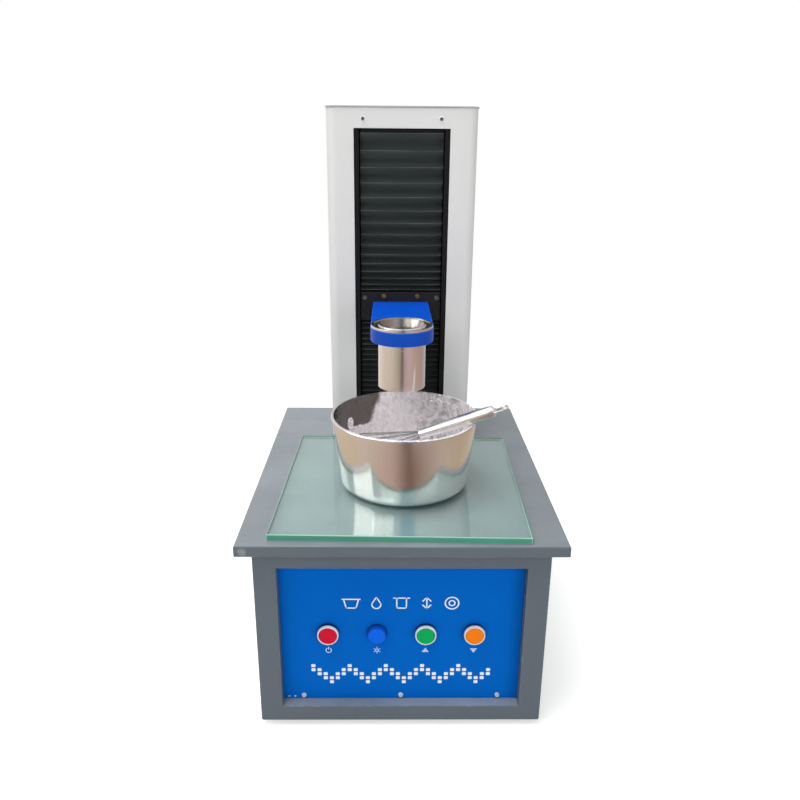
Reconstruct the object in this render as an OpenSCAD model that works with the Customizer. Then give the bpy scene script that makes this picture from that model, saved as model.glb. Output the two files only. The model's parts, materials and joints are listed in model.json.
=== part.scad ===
// Plaster consistency tester: a bench cabinet with a recessed control panel, a glass spreading plate,
// a motor driven lift column and an arm that carries a removable steel mould, with bowl and whisk.
// Millimetres, +Z up, front towards -Y, origin on the bench under the middle of the table.

/* [Glass plate] */

// Side of the square glass plate
glass_size = 300; // [270:1:330]
// Thickness of the glass plate
glass_t = 8; // [5:0.5:12]
// Table left free on each side of the glass
glass_side_gap = 39; // [30:1:60]
// Table left free in front of the glass
glass_front_gap = 9; // [4:1:30]
// Table left free between the glass and the column
column_gap = 20; // [8:1:50]
// Turn of the loose glass on the table in degrees
glass_turn = -1.4; // [-3:0.1:3]

/* [Table] */

// Thickness of the table sheet
table_t = 2; // [1.5:0.5:3]
// Height of the folded table edge
skirt_h = 13.5; // [10:0.5:25]
// Radius of the folded table edge
table_fold_r = 2.5; // [2:0.5:4]
// Table overhang on each side of the cabinet
side_overhang = 17; // [8:0.5:25]
// Table overhang in front of and behind the cabinet
front_overhang = 13; // [8:0.5:25]

/* [Cabinet] */

// Height of the cabinet walls
cabinet_h = 249; // [220:1:300]
// Thickness of the cabinet sheet
cabinet_t = 2; // [1.5:0.25:2.25]
// Outer radius of the folded corners
fold_r = 3; // [2.5:0.5:5]
// Width of the frame beside the control panel
frame_side = 27; // [20:1:40]
// Width of the frame under the control panel
frame_bottom = 21; // [18:1:35]
// Width of the frame over the control panel
frame_top = 34; // [24:1:50]
// Depth of the panel behind the frame
panel_recess = 14; // [12:0.5:20]
// Width of the lip that holds the panel
panel_lip = 12; // [9:0.5:16]
// Thickness of the control panel
panel_t = 2; // [1.5:0.5:4]
// Width of the inner flanges
flange_w = 14; // [12:1:18]
// Diameter of a rubber foot
foot_d = 30; // [24:1:40]
// Height of a rubber foot
foot_h = 8; // [7:0.5:14]
// Distance of a foot from the cabinet walls
foot_inset = 36; // [28:1:60]

/* [Controls] */

// Spacing of the controls
button_pitch = 58.7; // [45:0.1:64]
// Diameter of the panel holes
button_hole_d = 22.4; // [22.2:0.1:22.8]
// Outside diameter of a button barrel
barrel_d = 22; // [21:0.1:22]
// Outside diameter of a bezel
bezel_d = 27; // [27:0.1:32]
// Height of a bezel in front of the panel
bezel_h = 7.5; // [7:0.5:12]
// Thickness of the bezel floor on the panel
bezel_floor = 1.2; // [1:0.1:2]
// Diameter of a button cap
cap_d = 22; // [21:0.1:23.5]
// Thickness of a button cap
cap_t = 3.5; // [3:0.5:6]
// Diameter of a button stem
stem_d = 15; // [10:0.5:16]
// Travel of a button
button_travel = 3; // [2:0.5:4]
// Diameter of the lamp lens
lens_d = 21; // [16:0.5:22]
// Height of the lamp lens in front of its base
lens_h = 9; // [6:0.5:14]

/* [Column] */

// Width of the column
column_w = 205; // [195:1:220]
// Depth of the column
column_d = 124; // [118:1:140]
// Height of the column over the table
column_h = 471; // [440:1:520]
// Table left free behind the column
column_rear_gap = 8; // [4:1:30]
// Radius of the front corners of the column
column_r = 14; // [6:0.5:16]
// Thickness of the column sheet
column_t = 2; // [1:0.5:3]
// Overhang of the column cap
cap_lip = 1.4; // [0:0.1:3]
// Width of the slot in the column
slot_w = 130; // [126:1:136]
// Column left closed over the slot
slot_top = 28; // [26:1:40]
// Column left closed under the slot
slot_bottom = 28; // [16:1:50]
// Thickness of the end plates
end_plate_t = 12; // [10:1:16]
// Head diameter of the column bolts
bolt_head_d = 10; // [9:0.5:11]
// Diameter of a guide rod
rod_d = 16; // [12:1:18]
// Spacing of the guide rods
rod_pitch = 112; // [106:1:116]
// Distance of the screw behind the column front
screw_back = 67; // [66:0.5:70]

/* [Drive] */

// Diameter of the lead screw
screw_d = 16; // [12:1:18]
// Diameter of the screw journals
journal_d = 12; // [8:0.5:12]
// Outside diameter of a screw bearing
bearing_d = 32; // [26:1:36]
// Height of a screw bearing
bearing_h = 10; // [8:0.5:10]
// Side of the square motor
motor_w = 57; // [50:1:70]
// Length of the motor
motor_h = 80; // [60:1:110]
// Distance of the motor under the table
motor_drop = 52; // [44:1:64]
// Diameter of the motor shaft
motor_shaft_d = 10; // [6:0.5:12]
// Diameter of the shaft coupling
coupling_d = 30; // [24:1:34]
// Length of the shaft coupling
coupling_h = 38; // [30:1:40]

/* [Lift] */

// Travel of the lift down from the pictured height
travel_down = 86; // [60:1:90]
// Travel of the lift up from the pictured height
travel_up = 130; // [80:1:140]
// Height of the carriage
carriage_h = 56; // [50:1:64]
// Depth of the carriage behind its neck
carriage_d = 50; // [48:1:56]
// Outside diameter of a linear bush
bush_d = 28; // [26:1:30]
// Outside diameter of the screw nut
nut_d = 28; // [24:1:30]
// Height of the screw nut over its flange
nut_h = 40; // [34:1:44]
// Reach of the arm bolts into the arm
arm_bolt_len = 18; // [14:1:22]
// Thickness of the carriage plate
plate_t = 5; // [4:0.5:7]
// Carriage plate over the arm
plate_over = 14; // [13:0.5:20]
// Carriage plate under the arm
plate_under = 10; // [6:0.5:14]
// Folds in the upper bellows
upper_folds = 15; // [11:1:17]
// Folds in the lower bellows
lower_folds = 21; // [16:1:24]
// Depth of the bellows folds
fold_depth = 13; // [9:0.5:13]
// Thickness of the bellows along a fold
bellows_t = 3.5; // [2.5:0.5:4.5]

/* [Arm and mould] */

// Distance of the mould axis from the column
arm_reach = 146.5; // [120:0.5:150]
// Thickness of the arm
arm_t = 17.5; // [14:0.5:20]
// Width of the arm and of its ring
arm_w = 79; // [76:0.5:84]
// Bore of the mould
mould_bore = 50; // [40:0.5:52]
// Wall of the mould
mould_wall = 5; // [3:0.25:5.5]
// Height of the mould
mould_h = 81.5; // [75:0.5:100]
// Diameter of the mould flange
mould_flange_d = 78; // [74:0.5:84]
// Thickness of the mould flange
mould_flange_t = 1.8; // [1.4:0.2:3]
// Height of the rim round the mould flange
mould_lip = 3.2; // [3:0.2:5]
// Height of the mould over the bowl
mould_over_bowl = 29; // [18:0.5:40]

/* [Bowl and whisk] */

// Outside diameter of the bowl at its rim
bowl_rim_d = 183; // [170:1:195]
// Outside diameter of the bowl at its foot
bowl_base_d = 163; // [145:1:168]
// Height of the bowl
bowl_h = 92.5; // [80:0.5:100]
// Thickness of the bowl wall
bowl_t = 1.2; // [0.8:0.1:2]
// Corner radius of the bowl foot
bowl_corner_r = 9; // [4:0.5:16]
// Radius of the rolled rim
bowl_bead_r = 1.4; // [1.4:0.1:2.4]
// Sideways place of the bowl on the glass
bowl_x = 4; // [-20:1:20]
// Length of the whisk loops
loop_len = 110; // [95:1:118]
// Width of the whisk loops
loop_w = 48; // [36:1:50]
// Diameter of the whisk wire
wire_d = 1.6; // [1.2:0.1:1.8]
// Number of whisk loops
loop_count = 5; // [3:1:5]
// Diameter of the whisk handle
handle_d = 16; // [11:0.5:17]
// Length of the whisk handle
handle_len = 98; // [70:1:110]
// Height of the whisk tip in the bowl
tip_h = 33; // [30:1:40]

/* [Hidden] */

$fn = 64;
slip = 0.3;
run_fit = 0.05;
seat_fit = 0.02;
table_w = glass_size + 2 * glass_side_gap;
table_d = glass_front_gap + glass_size + column_gap + column_d + column_rear_gap;
cabinet_w = table_w - 2 * side_overhang;
cabinet_d = table_d - 2 * front_overhang;
opening_w = cabinet_w - 2 * frame_side;
inner_x = cabinet_w / 2 - cabinet_t;

y_table = -table_d / 2;
y_front = -cabinet_d / 2;
y_back = cabinet_d / 2;
y_panel = y_front + panel_recess;
y_lip = y_panel + panel_t;
y_glass = y_table + glass_front_gap;
y_bowl = y_glass + glass_size / 2 - 2;
y_col = y_glass + glass_size + column_gap;
y_col_back = y_col + column_d;
y_screw = y_col + screw_back;
y_mould = y_col - arm_reach;

z_cab = foot_h;
z_floor = z_cab + cabinet_t;
z_under = z_cab + cabinet_h;
z_table = z_under + table_t;
z_glass = z_table + glass_t;
z_open_low = z_cab + frame_bottom;
z_open_high = z_under - frame_top;
z_button = (z_open_low + z_open_high) / 2;
z_screws = z_open_low + 5.5;
panel_screw_x = opening_w * 0.414;
z_top = z_table + column_h;
z_cap = z_top - column_t;
z_slot_low = z_table + slot_bottom;
z_slot_high = z_top - slot_top;
z_foot = z_table + end_plate_t;
z_head = z_slot_high + 6;
z_head_top = z_head + end_plate_t;

z_rim = z_glass + bowl_h;
z_mould = z_rim + mould_over_bowl;
z_mould_top = z_mould + mould_h;
mark_d = mould_wall * 0.7;
mark_depth = mould_wall * 0.3;
mouth_w = mould_wall * 0.7;
mouth_h = mould_wall * 2.4;
z_arm_top = z_mould_top - mould_lip;
z_arm = z_arm_top - arm_t;
z_plate = z_arm - plate_under;
z_plate_top = z_arm_top + plate_over;
z_carriage = z_arm + arm_t / 2 - carriage_h / 2 + 2;
z_carriage_top = z_carriage + carriage_h;

y_plate = y_col + column_t + 2.5;
y_neck = y_plate + plate_t;
y_block = y_screw - carriage_d / 2;
y_block_back = y_screw + carriage_d / 2;
plate_w = slot_w - 16;
inner_screw_x = plate_w * 0.21;
outer_screw_x = plate_w * 0.452;
z_inner_screw = z_arm_top + plate_over * 0.57;
z_outer_screw = z_arm_top + plate_over * 0.4;
arm_bolt_x = arm_w * 0.29;
z_arm_mid = z_arm + arm_t / 2;
rail_x = plate_w / 2 + 1.3;
rail_w = slot_w / 2 + 1.5 - rail_x;
rail_d = fold_depth + bellows_t + 8;
carriage_w = rod_pitch + bush_d + 12;
cover_screw_x = slot_w * 0.404;
bar_x = column_w / 2 - column_t - 8.5;
bar_t = column_t * 1.5;
bar_w = carriage_d * 0.6;
switch_h = carriage_h / 2;

z_motor = z_under - motor_drop;
z_coupling = z_motor + 5;
post_r = motor_w / 2 - 5;
shaft_top = z_coupling + coupling_h / 2 - 1;
bolt_x = column_w / 2 - 22;
bolt_y = column_d * 0.306;

button_xs = [-1.5 * button_pitch, -0.5 * button_pitch, 0.5 * button_pitch, 1.5 * button_pitch];
push_xs = [button_xs[0], button_xs[2], button_xs[3]];
barrel_end = y_panel + barrel_d * 0.82;
block_end = barrel_end + barrel_d * 1.55;
contact_w = barrel_d * 1.27;
contact_h = barrel_d * 1.64;
stem_len = barrel_d;
lamp_base = bezel_h * 0.4;
lens_dome = lens_h * 0.44;

vent_x = cabinet_w * 0.18;
vent_w = cabinet_w * 0.186;
vent_pitch = cabinet_h * 0.04;
z_vent = z_under - cabinet_h * 0.2;

hanger_w = handle_d * 0.86;
hanger_len = handle_len * 0.1;
hanger_d = wire_d * 1.5;
bowl_slope = atan((bowl_rim_d - bowl_base_d) / 2 / bowl_h);
tip_r = bowl_base_d / 2 + (bowl_rim_d - bowl_base_d) / 2 * tip_h / bowl_h - bowl_t - wire_d - 0.8;
rest_angle = -25;
whisk_tip = [bowl_x - tip_r, y_bowl - tip_r * 0.092, z_glass + tip_h];
rest_xy = [bowl_x + bowl_rim_d / 2 * cos(rest_angle), y_bowl + bowl_rim_d / 2 * sin(rest_angle)];
whisk_rest = [rest_xy[0], rest_xy[1], z_rim + handle_d / 2 + 1.35];
whisk_dir = whisk_rest - whisk_tip;
whisk_turn = [0, acos(whisk_dir[2] / norm(whisk_dir)), atan2(whisk_dir[1], whisk_dir[0])];

inlet_x = 105;
inlet_z = 62;
bay_side = cabinet_w * 0.047;
bay_front = y_front + cabinet_d * 0.207;
y_board = y_back - cabinet_d * 0.276;
supply_size = [cabinet_w * 0.462, cabinet_d * 0.223, cabinet_h * 0.153];
driver_size = [cabinet_w * 0.32, cabinet_d * 0.17, cabinet_h * 0.133];
board_size = [cabinet_w * 0.29, cabinet_d * 0.161, 1.6];

// Box between two opposite corners
module block(low, high) {
    translate(low)
        cube(high - low);
}

// Upright round bar
module post(x, y, low, high, d) {
    translate([x, y, low])
        cylinder(h = high - low, d = d);
}

// Round bar that runs from front to back
module pin(x, z, front, back, d) {
    translate([x, front, z])
        rotate([-90, 0, 0])
            cylinder(h = back - front, d = d);
}

// Upright hexagon with a round bore
module hex_nut(x, y, low, high, flats, bore) {
    translate([x, y, low])
        difference() {
            cylinder(h = high - low, d = flats / cos(30), $fn = 6);
            translate([0, 0, -1])
                cylinder(h = high - low + 2, d = bore);
        }
}

// Pan head screw along +Z with its seat at zero and a cross recess
module pan_screw(d, length, head_d, head_h) {
    cylinder(h = length, d = d);
    difference() {
        translate([0, 0, -head_h])
            cylinder(h = head_h, d1 = head_d * 0.72, d2 = head_d);
        for (turn = [0, 90])
            rotate([0, 0, turn])
                translate([-head_d * 0.24, -head_d * 0.06, -head_h - 1])
                    cube([head_d * 0.48, head_d * 0.12, 1 + head_h * 0.5]);
    }
}

// Outline with its front edge on zero and rounded front corners
module front_round(w, d, r) {
    translate([-w / 2, r])
        square([w, d - r]);
    translate([-w / 2 + r, 0])
        square([w - 2 * r, d]);
    for (side = [-1, 1])
        translate([side * (w / 2 - r), r])
            circle(r = r);
}

// Outline standing on zero with rounded upper corners
module top_round(w, h, r) {
    translate([-w / 2, 0])
        square([w, h - r]);
    translate([-w / 2 + r, 0])
        square([w - 2 * r, h]);
    for (side = [-1, 1])
        translate([side * (w / 2 - r), h - r])
            circle(r = r);
}

// One child copy at each foot
module each_foot() {
    for (x = [-1, 1], y = [-1, 1])
        translate([x * (cabinet_w / 2 - foot_inset), y * (cabinet_d / 2 - foot_inset), 0])
            children();
}

// One child copy at each stud under the table
module each_stud() {
    for (x = [-1, 1], y = [-0.6, 0.3])
        translate([x * (inner_x - flange_w / 2), y * cabinet_d / 2, 0])
            children();
}

// One child copy at each bolt of the column foot
module each_bolt() {
    for (x = [-1, 1], y = [-1, 1])
        translate([x * bolt_x, y_screw + y * bolt_y, 0])
            children();
}

module rubber_feet() {
    color("#1b1b1d")
        each_foot()
            difference() {
                cylinder(h = foot_h, d1 = foot_d - 4, d2 = foot_d);
                translate([0, 0, -1])
                    cylinder(h = 5, d = 12);
                translate([0, 0, 3])
                    cylinder(h = foot_h, d = 5.4);
            }
}

module foot_screws() {
    color("#b9bcc0")
        each_foot()
            translate([0, 0, 4])
                pan_screw(5, z_floor + 1, 10, 3);
}

module foot_nuts() {
    color("#b9bcc0")
        each_foot()
            hex_nut(0, 0, z_floor, z_floor + 4, 8, 5 + 2 * run_fit);
}

module cabinet_shell() {
    color("#6a6f76")
        difference() {
            union() {
                translate([0, y_front, z_cab])
                    linear_extrude(cabinet_h)
                        difference() {
                            front_round(cabinet_w, cabinet_d, fold_r);
                            translate([0, cabinet_t])
                                front_round(2 * inner_x, cabinet_d, fold_r - cabinet_t);
                        }
                block([-opening_w / 2 - cabinet_t, y_front + cabinet_t / 2, z_open_low - cabinet_t],
                      [opening_w / 2 + cabinet_t, y_lip + cabinet_t, z_open_high + cabinet_t]);
                for (side = [0, 1])
                    mirror([side, 0, 0]) {
                        block([inner_x - flange_w, y_back - 2 * cabinet_t, z_cab],
                              [inner_x + cabinet_t / 2, y_back - cabinet_t, z_under]);
                        block([inner_x - flange_w, y_front + cabinet_t / 2, z_under - cabinet_t],
                              [inner_x + cabinet_t / 2, y_back - cabinet_t, z_under]);
                    }
            }
            block([-opening_w / 2, y_front - 1, z_open_low],
                  [opening_w / 2, y_lip, z_open_high]);
            block([-opening_w / 2 + panel_lip, y_front - 1, z_open_low + panel_lip],
                  [opening_w / 2 - panel_lip, y_lip + 10, z_open_high - panel_lip]);
            for (x = [-1, 0, 1])
                pin(x * panel_screw_x, z_screws, y_lip - 1, y_lip + 10, 3 + 2 * run_fit);
            each_stud()
                translate([0, 0, z_under - 10])
                    cylinder(h = 20, d = 5.6);
            for (x = [-1, 1], z = [0.12, 0.5, 0.88])
                pin(x * (inner_x - flange_w / 2), z_cab + z * cabinet_h, y_back - 10, y_back, 3.6);
        }
}

module floor_plate() {
    color("#7a7f85")
        difference() {
            union() {
                block([-inner_x + slip, y_front + cabinet_t + slip, z_cab],
                      [inner_x - slip, y_back - 2 * cabinet_t - slip, z_floor]);
                for (side = [0, 1])
                    mirror([side, 0, 0])
                        block([inner_x - slip - cabinet_t, y_front + cabinet_t + slip, z_cab],
                              [inner_x - slip, y_back - 2 * cabinet_t - slip, z_cab + flange_w]);
            }
            each_foot()
                cylinder(h = 40, d = 5.4);
        }
}

module rear_panel() {
    color("#6a6f76")
        difference() {
            block([-inner_x + slip, y_back - cabinet_t, z_cab],
                  [inner_x - slip, y_back, z_under - slip]);
            for (x = [-1, 1], z = [0.12, 0.5, 0.88])
                pin(x * (inner_x - flange_w / 2), z_cab + z * cabinet_h, y_back - 10, y_back + 10, 3.6);
            block([inlet_x - 14, y_back - 10, inlet_z - 10.3], [inlet_x + 14, y_back + 10, inlet_z + 10.3]);
            for (x = [-1, 1])
                pin(inlet_x + x * 20, inlet_z, y_back - 10, y_back + 10, 3.4);
            for (i = [0:6], side = [-1, 1])
                block([side * vent_x - vent_w / 2, y_back - 10, z_vent - vent_pitch * i],
                      [side * vent_x + vent_w / 2, y_back + 10, z_vent - vent_pitch * (i - 0.4)]);
        }
}

module rear_screws() {
    color("#b9bcc0") {
        for (x = [-1, 1], z = [0.12, 0.5, 0.88])
            translate([x * (inner_x - flange_w / 2), y_back, z_cab + z * cabinet_h])
                rotate([90, 0, 0])
                    pan_screw(3.5, 8, 7, 2.4);
        for (x = [-1, 1])
            translate([inlet_x + x * 20, y_back + 2.5, inlet_z])
                rotate([90, 0, 0])
                    pan_screw(3, 9, 5.4, 1.8);
    }
}

module control_panel() {
    color("#0a5cb8")
        difference() {
            block([-opening_w / 2 + slip, y_panel, z_open_low + slip],
                  [opening_w / 2 - slip, y_lip, z_open_high - slip]);
            for (x = button_xs)
                pin(x, z_button, y_panel - 1, y_lip + 1, button_hole_d);
            for (x = [-1, 0, 1])
                pin(x * panel_screw_x, z_screws, y_panel - 1, y_lip + 1, 3.4);
        }
}

module panel_screws() {
    color("#c8cacd")
        for (x = [-1, 0, 1])
            translate([x * panel_screw_x, y_panel, z_screws])
                rotate([-90, 0, 0])
                    pan_screw(3, 10, 6.4, 2.2);
}

module table_top() {
    color("#8d9197") {
        difference() {
            translate([0, 0, z_table - skirt_h])
                intersection() {
                    rotate([90, 0, 0])
                        linear_extrude(table_d, center = true)
                            top_round(table_w, skirt_h, table_fold_r);
                    rotate([90, 0, 90])
                        linear_extrude(table_w, center = true)
                            top_round(table_d, skirt_h, table_fold_r);
                }
            block([-table_w / 2 + table_t, -table_d / 2 + table_t, z_under - 60],
                  [table_w / 2 - table_t, table_d / 2 - table_t, z_under]);
            post(0, y_screw, z_under - 1, z_table + 1, 40);
            each_bolt()
                translate([0, 0, z_under - 1])
                    cylinder(h = 10, d = 6.6);
        }
        each_stud()
            translate([0, 0, z_under - 14])
                cylinder(h = 14 + table_t / 2, d = 5);
    }
}

module table_nuts() {
    color("#b9bcc0")
        each_stud()
            hex_nut(0, 0, z_under - cabinet_t - 5, z_under - cabinet_t, 8, 5 + 2 * run_fit);
}

module glass_plate() {
    color("#bfe3d6", 0.5)
        translate([0, y_glass + glass_size / 2, z_table])
            rotate([0, 0, glass_turn])
                linear_extrude(glass_t)
                    square(glass_size, center = true);
}

module button_bezels() {
    color("#d9dbde")
        for (x = push_xs)
            translate([x, y_panel, z_button])
                rotate([-90, 0, 0])
                    difference() {
                        union() {
                            translate([0, 0, -bezel_h])
                                cylinder(h = bezel_h, d1 = bezel_d - 2, d2 = bezel_d);
                            translate([0, 0, -1])
                                cylinder(h = barrel_end - y_panel + 1, d = barrel_d);
                        }
                        translate([0, 0, -bezel_h - 1])
                            cylinder(h = bezel_h + 1 - bezel_floor, d = cap_d + 2 * slip);
                        translate([0, 0, -bezel_h])
                            cylinder(h = bezel_h + 40, d = stem_d + 2 * slip);
                    }
}

module button_nuts() {
    color("#9a9da1")
        for (x = button_xs)
            translate([x, y_lip, z_button])
                rotate([-90, 0, 0])
                    difference() {
                        cylinder(h = barrel_d * 0.23, d = bezel_d + 2, $fn = 8);
                        translate([0, 0, -1])
                            cylinder(h = 10, d = barrel_d + 2 * run_fit);
                    }
}

module contact_blocks() {
    color("#2c2f33")
        for (x = push_xs)
            difference() {
                block([x - contact_w / 2, barrel_end, z_button - contact_h / 2],
                      [x + contact_w / 2, block_end, z_button + contact_h / 2]);
                pin(x, z_button, barrel_end - 1, barrel_end + 12, stem_d + 2 * slip);
                for (side = [-1, 1], z = [-1, 1])
                    pin(x + side * contact_w * 0.29, z_button + z * contact_h / 3,
                        block_end - 6, block_end + 1, 6);
            }
}

// Cap with its stem for the push button at x
module push_button(x) {
    translate([x, y_panel - bezel_floor - button_travel - 0.4, z_button])
        rotate([-90, 0, 0]) {
            translate([0, 0, -cap_t + 1])
                cylinder(h = cap_t - 1, d = cap_d);
            translate([0, 0, -cap_t])
                cylinder(h = 1, d1 = cap_d - 2.4, d2 = cap_d);
            cylinder(h = stem_len, d = stem_d);
        }
}

module power_button() {
    color("#dc1e32")
        push_button(push_xs[0]);
}

module up_button() {
    color("#0fa552")
        push_button(push_xs[1]);
}

module down_button() {
    color("#ff8a00")
        push_button(push_xs[2]);
}

module lamp_body() {
    color("#0a3f86")
        translate([button_xs[1], y_panel, z_button])
            rotate([-90, 0, 0]) {
                translate([0, 0, -lamp_base])
                    cylinder(h = lamp_base, d1 = bezel_d - 3, d2 = bezel_d - 1.5);
                translate([0, 0, -1])
                    cylinder(h = barrel_end - y_panel + 1, d = barrel_d);
                translate([0, 0, barrel_end - y_panel - 1])
                    cylinder(h = 16, d = 18);
            }
}

module lamp_lens() {
    color("#0a63e0")
        translate([button_xs[1], y_panel - lamp_base, z_button])
            rotate([90, 0, 0]) {
                cylinder(h = lens_h - lens_dome, d = lens_d);
                translate([0, 0, lens_h - lens_dome])
                    intersection() {
                        cylinder(h = lens_dome, d = lens_d);
                        translate([0, 0, lens_dome - lens_d * 0.75])
                            sphere(d = lens_d * 1.5, $fn = 96);
                    }
            }
}

module column_cover() {
    color("#d8d9d8")
        difference() {
            translate([0, y_col, z_table])
                linear_extrude(z_cap - z_table)
                    difference() {
                        front_round(column_w, column_d, column_r);
                        translate([0, column_t])
                            front_round(column_w - 2 * column_t, column_d, column_r - column_t);
                    }
            block([-slot_w / 2, y_col - 1, z_slot_low], [slot_w / 2, y_col + column_t + 1, z_slot_high]);
            for (x = [-1, 1], z = [z_table + end_plate_t / 2, z_head + end_plate_t / 2])
                pin(x * cover_screw_x, z, y_col - 1, y_col + column_t + 1, 4.4);
        }
}

module column_back() {
    color("#d8d9d8")
        difference() {
            block([-column_w / 2 + column_t + slip, y_col_back - column_t, z_table],
                  [column_w / 2 - column_t - slip, y_col_back, z_cap]);
            for (x = [-1, 1], z = [z_table + end_plate_t / 2, z_head + end_plate_t / 2])
                pin(x * cover_screw_x, z, y_col_back - 5, y_col_back + 5, 4.4);
            for (i = [0:5])
                block([-28, y_col_back - 5, z_head - 40 - 9 * i],
                      [28, y_col_back + 5, z_head - 36 - 9 * i]);
        }
}

module column_cap() {
    color("#cfd0cf")
        translate([0, y_col - cap_lip, z_cap])
            linear_extrude(column_t)
                front_round(column_w + 2 * cap_lip, column_d + 2 * cap_lip, column_r + cap_lip);
}

module cover_screws() {
    color("#b9bcc0")
        for (x = [-1, 1], z = [z_table + end_plate_t / 2, z_head + end_plate_t / 2]) {
            translate([x * cover_screw_x, y_col, z])
                rotate([-90, 0, 0])
                    pan_screw(4, 10, 7.4, 2.2);
            translate([x * cover_screw_x, y_col_back, z])
                rotate([90, 0, 0])
                    pan_screw(4, 10, 7.4, 2.2);
        }
}

// Plate inside the column with the screw holes of the covers, standing on zero
module end_plate() {
    difference() {
        union() {
            block([-column_w / 2 + column_t + column_r, y_col + column_t, 0],
                  [column_w / 2 - column_t - column_r, y_col_back - column_t, end_plate_t]);
            block([-column_w / 2 + column_t + slip, y_col + column_t + column_r, 0],
                  [column_w / 2 - column_t - slip, y_col_back - column_t, end_plate_t]);
        }
        for (x = [-1, 1]) {
            pin(x * cover_screw_x, end_plate_t / 2, y_col, y_col + 12, 4 + 2 * run_fit);
            pin(x * cover_screw_x, end_plate_t / 2, y_col_back - 12, y_col_back, 4 + 2 * run_fit);
        }
        children();
    }
}

module column_foot() {
    color("#a7abb0")
        translate([0, 0, z_table])
            end_plate() {
                for (x = [-1, 1])
                    post(x * rod_pitch / 2, y_screw, 4, end_plate_t + 1, rod_d + 2 * seat_fit);
                post(0, y_screw, end_plate_t - bearing_h, end_plate_t + 1, bearing_d + 2 * seat_fit);
                post(0, y_screw, -1, end_plate_t, bearing_d - 7);
                each_bolt()
                    translate([0, 0, -1])
                        cylinder(h = 11, d = 6 + 2 * run_fit);
            }
}

module column_head() {
    color("#a7abb0")
        translate([0, 0, z_head])
            end_plate() {
                for (x = [-1, 1])
                    post(x * rod_pitch / 2, y_screw, -1, end_plate_t - 4, rod_d + 2 * seat_fit);
                post(0, y_screw, -1, bearing_h, bearing_d + 2 * seat_fit);
                post(0, y_screw, 0, end_plate_t + 1, bearing_d - 7);
            }
}

module column_bolts() {
    color("#55585c")
        each_bolt() {
            post(0, 0, z_under - 6, z_under, bolt_head_d);
            post(0, 0, z_under - 1, z_table + 9, 6);
        }
}

module guide_rods() {
    color("#c9ccd0")
        for (x = [-1, 1])
            post(x * rod_pitch / 2, y_screw, z_table + 4, z_head + end_plate_t - 4, rod_d);
}

module bellows_rails() {
    color("#26282b")
        for (side = [0, 1])
            mirror([side, 0, 0])
                difference() {
                    block([rail_x, y_col + column_t, z_foot],
                          [rail_x + rail_w, y_col + column_t + rail_d, z_head]);
                    block([rail_x - 1, y_col + column_t + 3, z_foot - 1],
                          [rail_x + rail_w - 2, y_col + column_t + rail_d - 2, z_head + 1]);
                }
}

// Depth of a zigzag at its corner number i
function fold_y(i) = (i % 2 == 0) ? 0 : fold_depth;

// Height of corner i of n on a strip whose folds open out from share
function fold_z(i, n, share) = i / n * (share + (1 - share) * i / n);

// Pleated strip of a given height whose folds are tighter by share at its foot
module pleats(height, folds, share) {
    n = 2 * folds;
    front = [for (i = [0:n]) [fold_y(i), height * fold_z(i, n, share)]];
    back = [for (i = [n:-1:0]) [fold_y(i) + bellows_t, height * fold_z(i, n, share)]];
    rotate([90, 0, 90])
        linear_extrude(plate_w, center = true)
            polygon(concat(front, back));
}

module upper_bellows() {
    color("#202327")
        translate([0, y_plate, z_plate_top])
            pleats(z_head - z_plate_top, upper_folds, 0.42);
}

module lower_bellows() {
    color("#202327")
        translate([0, y_plate, z_foot])
            pleats(z_plate - z_foot, lower_folds, 1);
}

module switch_bar() {
    color("#a7abb0")
        block([bar_x - bar_t, y_screw - bar_w / 2, z_foot], [bar_x, y_screw + bar_w / 2, z_head]);
}

module limit_switches() {
    color("#2f4c7a")
        for (low = [z_carriage - travel_down - switch_h - 4, z_carriage_top + travel_up + 4]) {
            block([carriage_w / 2 - 9, y_screw + 4, low],
                  [bar_x - bar_t, y_screw + bar_w / 2, low + switch_h]);
            post(carriage_w / 2 - 5, y_screw + 9.5, low - 3, low + switch_h + 3, 4);
        }
}

module lead_screw() {
    color("#b4b8bd") {
        post(0, y_screw, shaft_top + 2, z_head + bearing_h - 1, journal_d);
        difference() {
            post(0, y_screw, z_foot + 2, z_head - 2, screw_d);
            for (z = [z_foot + 8:5:z_head - 8])
                translate([0, y_screw, z])
                    rotate_extrude()
                        translate([screw_d / 2, 0])
                            polygon([[0.5, -1.5], [0.5, 1.5], [-1.1, 0.7], [-1.1, -0.7]]);
        }
    }
}

module screw_bearings() {
    color("#8f9398")
        for (low = [z_foot - bearing_h, z_head])
            difference() {
                post(0, y_screw, low, low + bearing_h, bearing_d);
                post(0, y_screw, low - 1, low + bearing_h + 1, journal_d + 2 * run_fit);
            }
}

module shaft_coupling() {
    color("#9fa4aa")
        difference() {
            post(0, y_screw, z_coupling, z_coupling + coupling_h, coupling_d);
            post(0, y_screw, z_coupling - 1, shaft_top + 1, motor_shaft_d + 2 * seat_fit);
            post(0, y_screw, shaft_top + 1, z_coupling + coupling_h + 1, journal_d + 2 * seat_fit);
            for (z = [0.42, 0.58])
                block([-coupling_d, y_screw - coupling_d, z_coupling + z * coupling_h - 0.6],
                      [coupling_d, y_screw - coupling_d / 4, z_coupling + z * coupling_h + 0.6]);
        }
}

module motor_shaft() {
    color("#c9ccd0")
        post(0, y_screw, z_motor - 20, shaft_top, motor_shaft_d);
}

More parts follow.
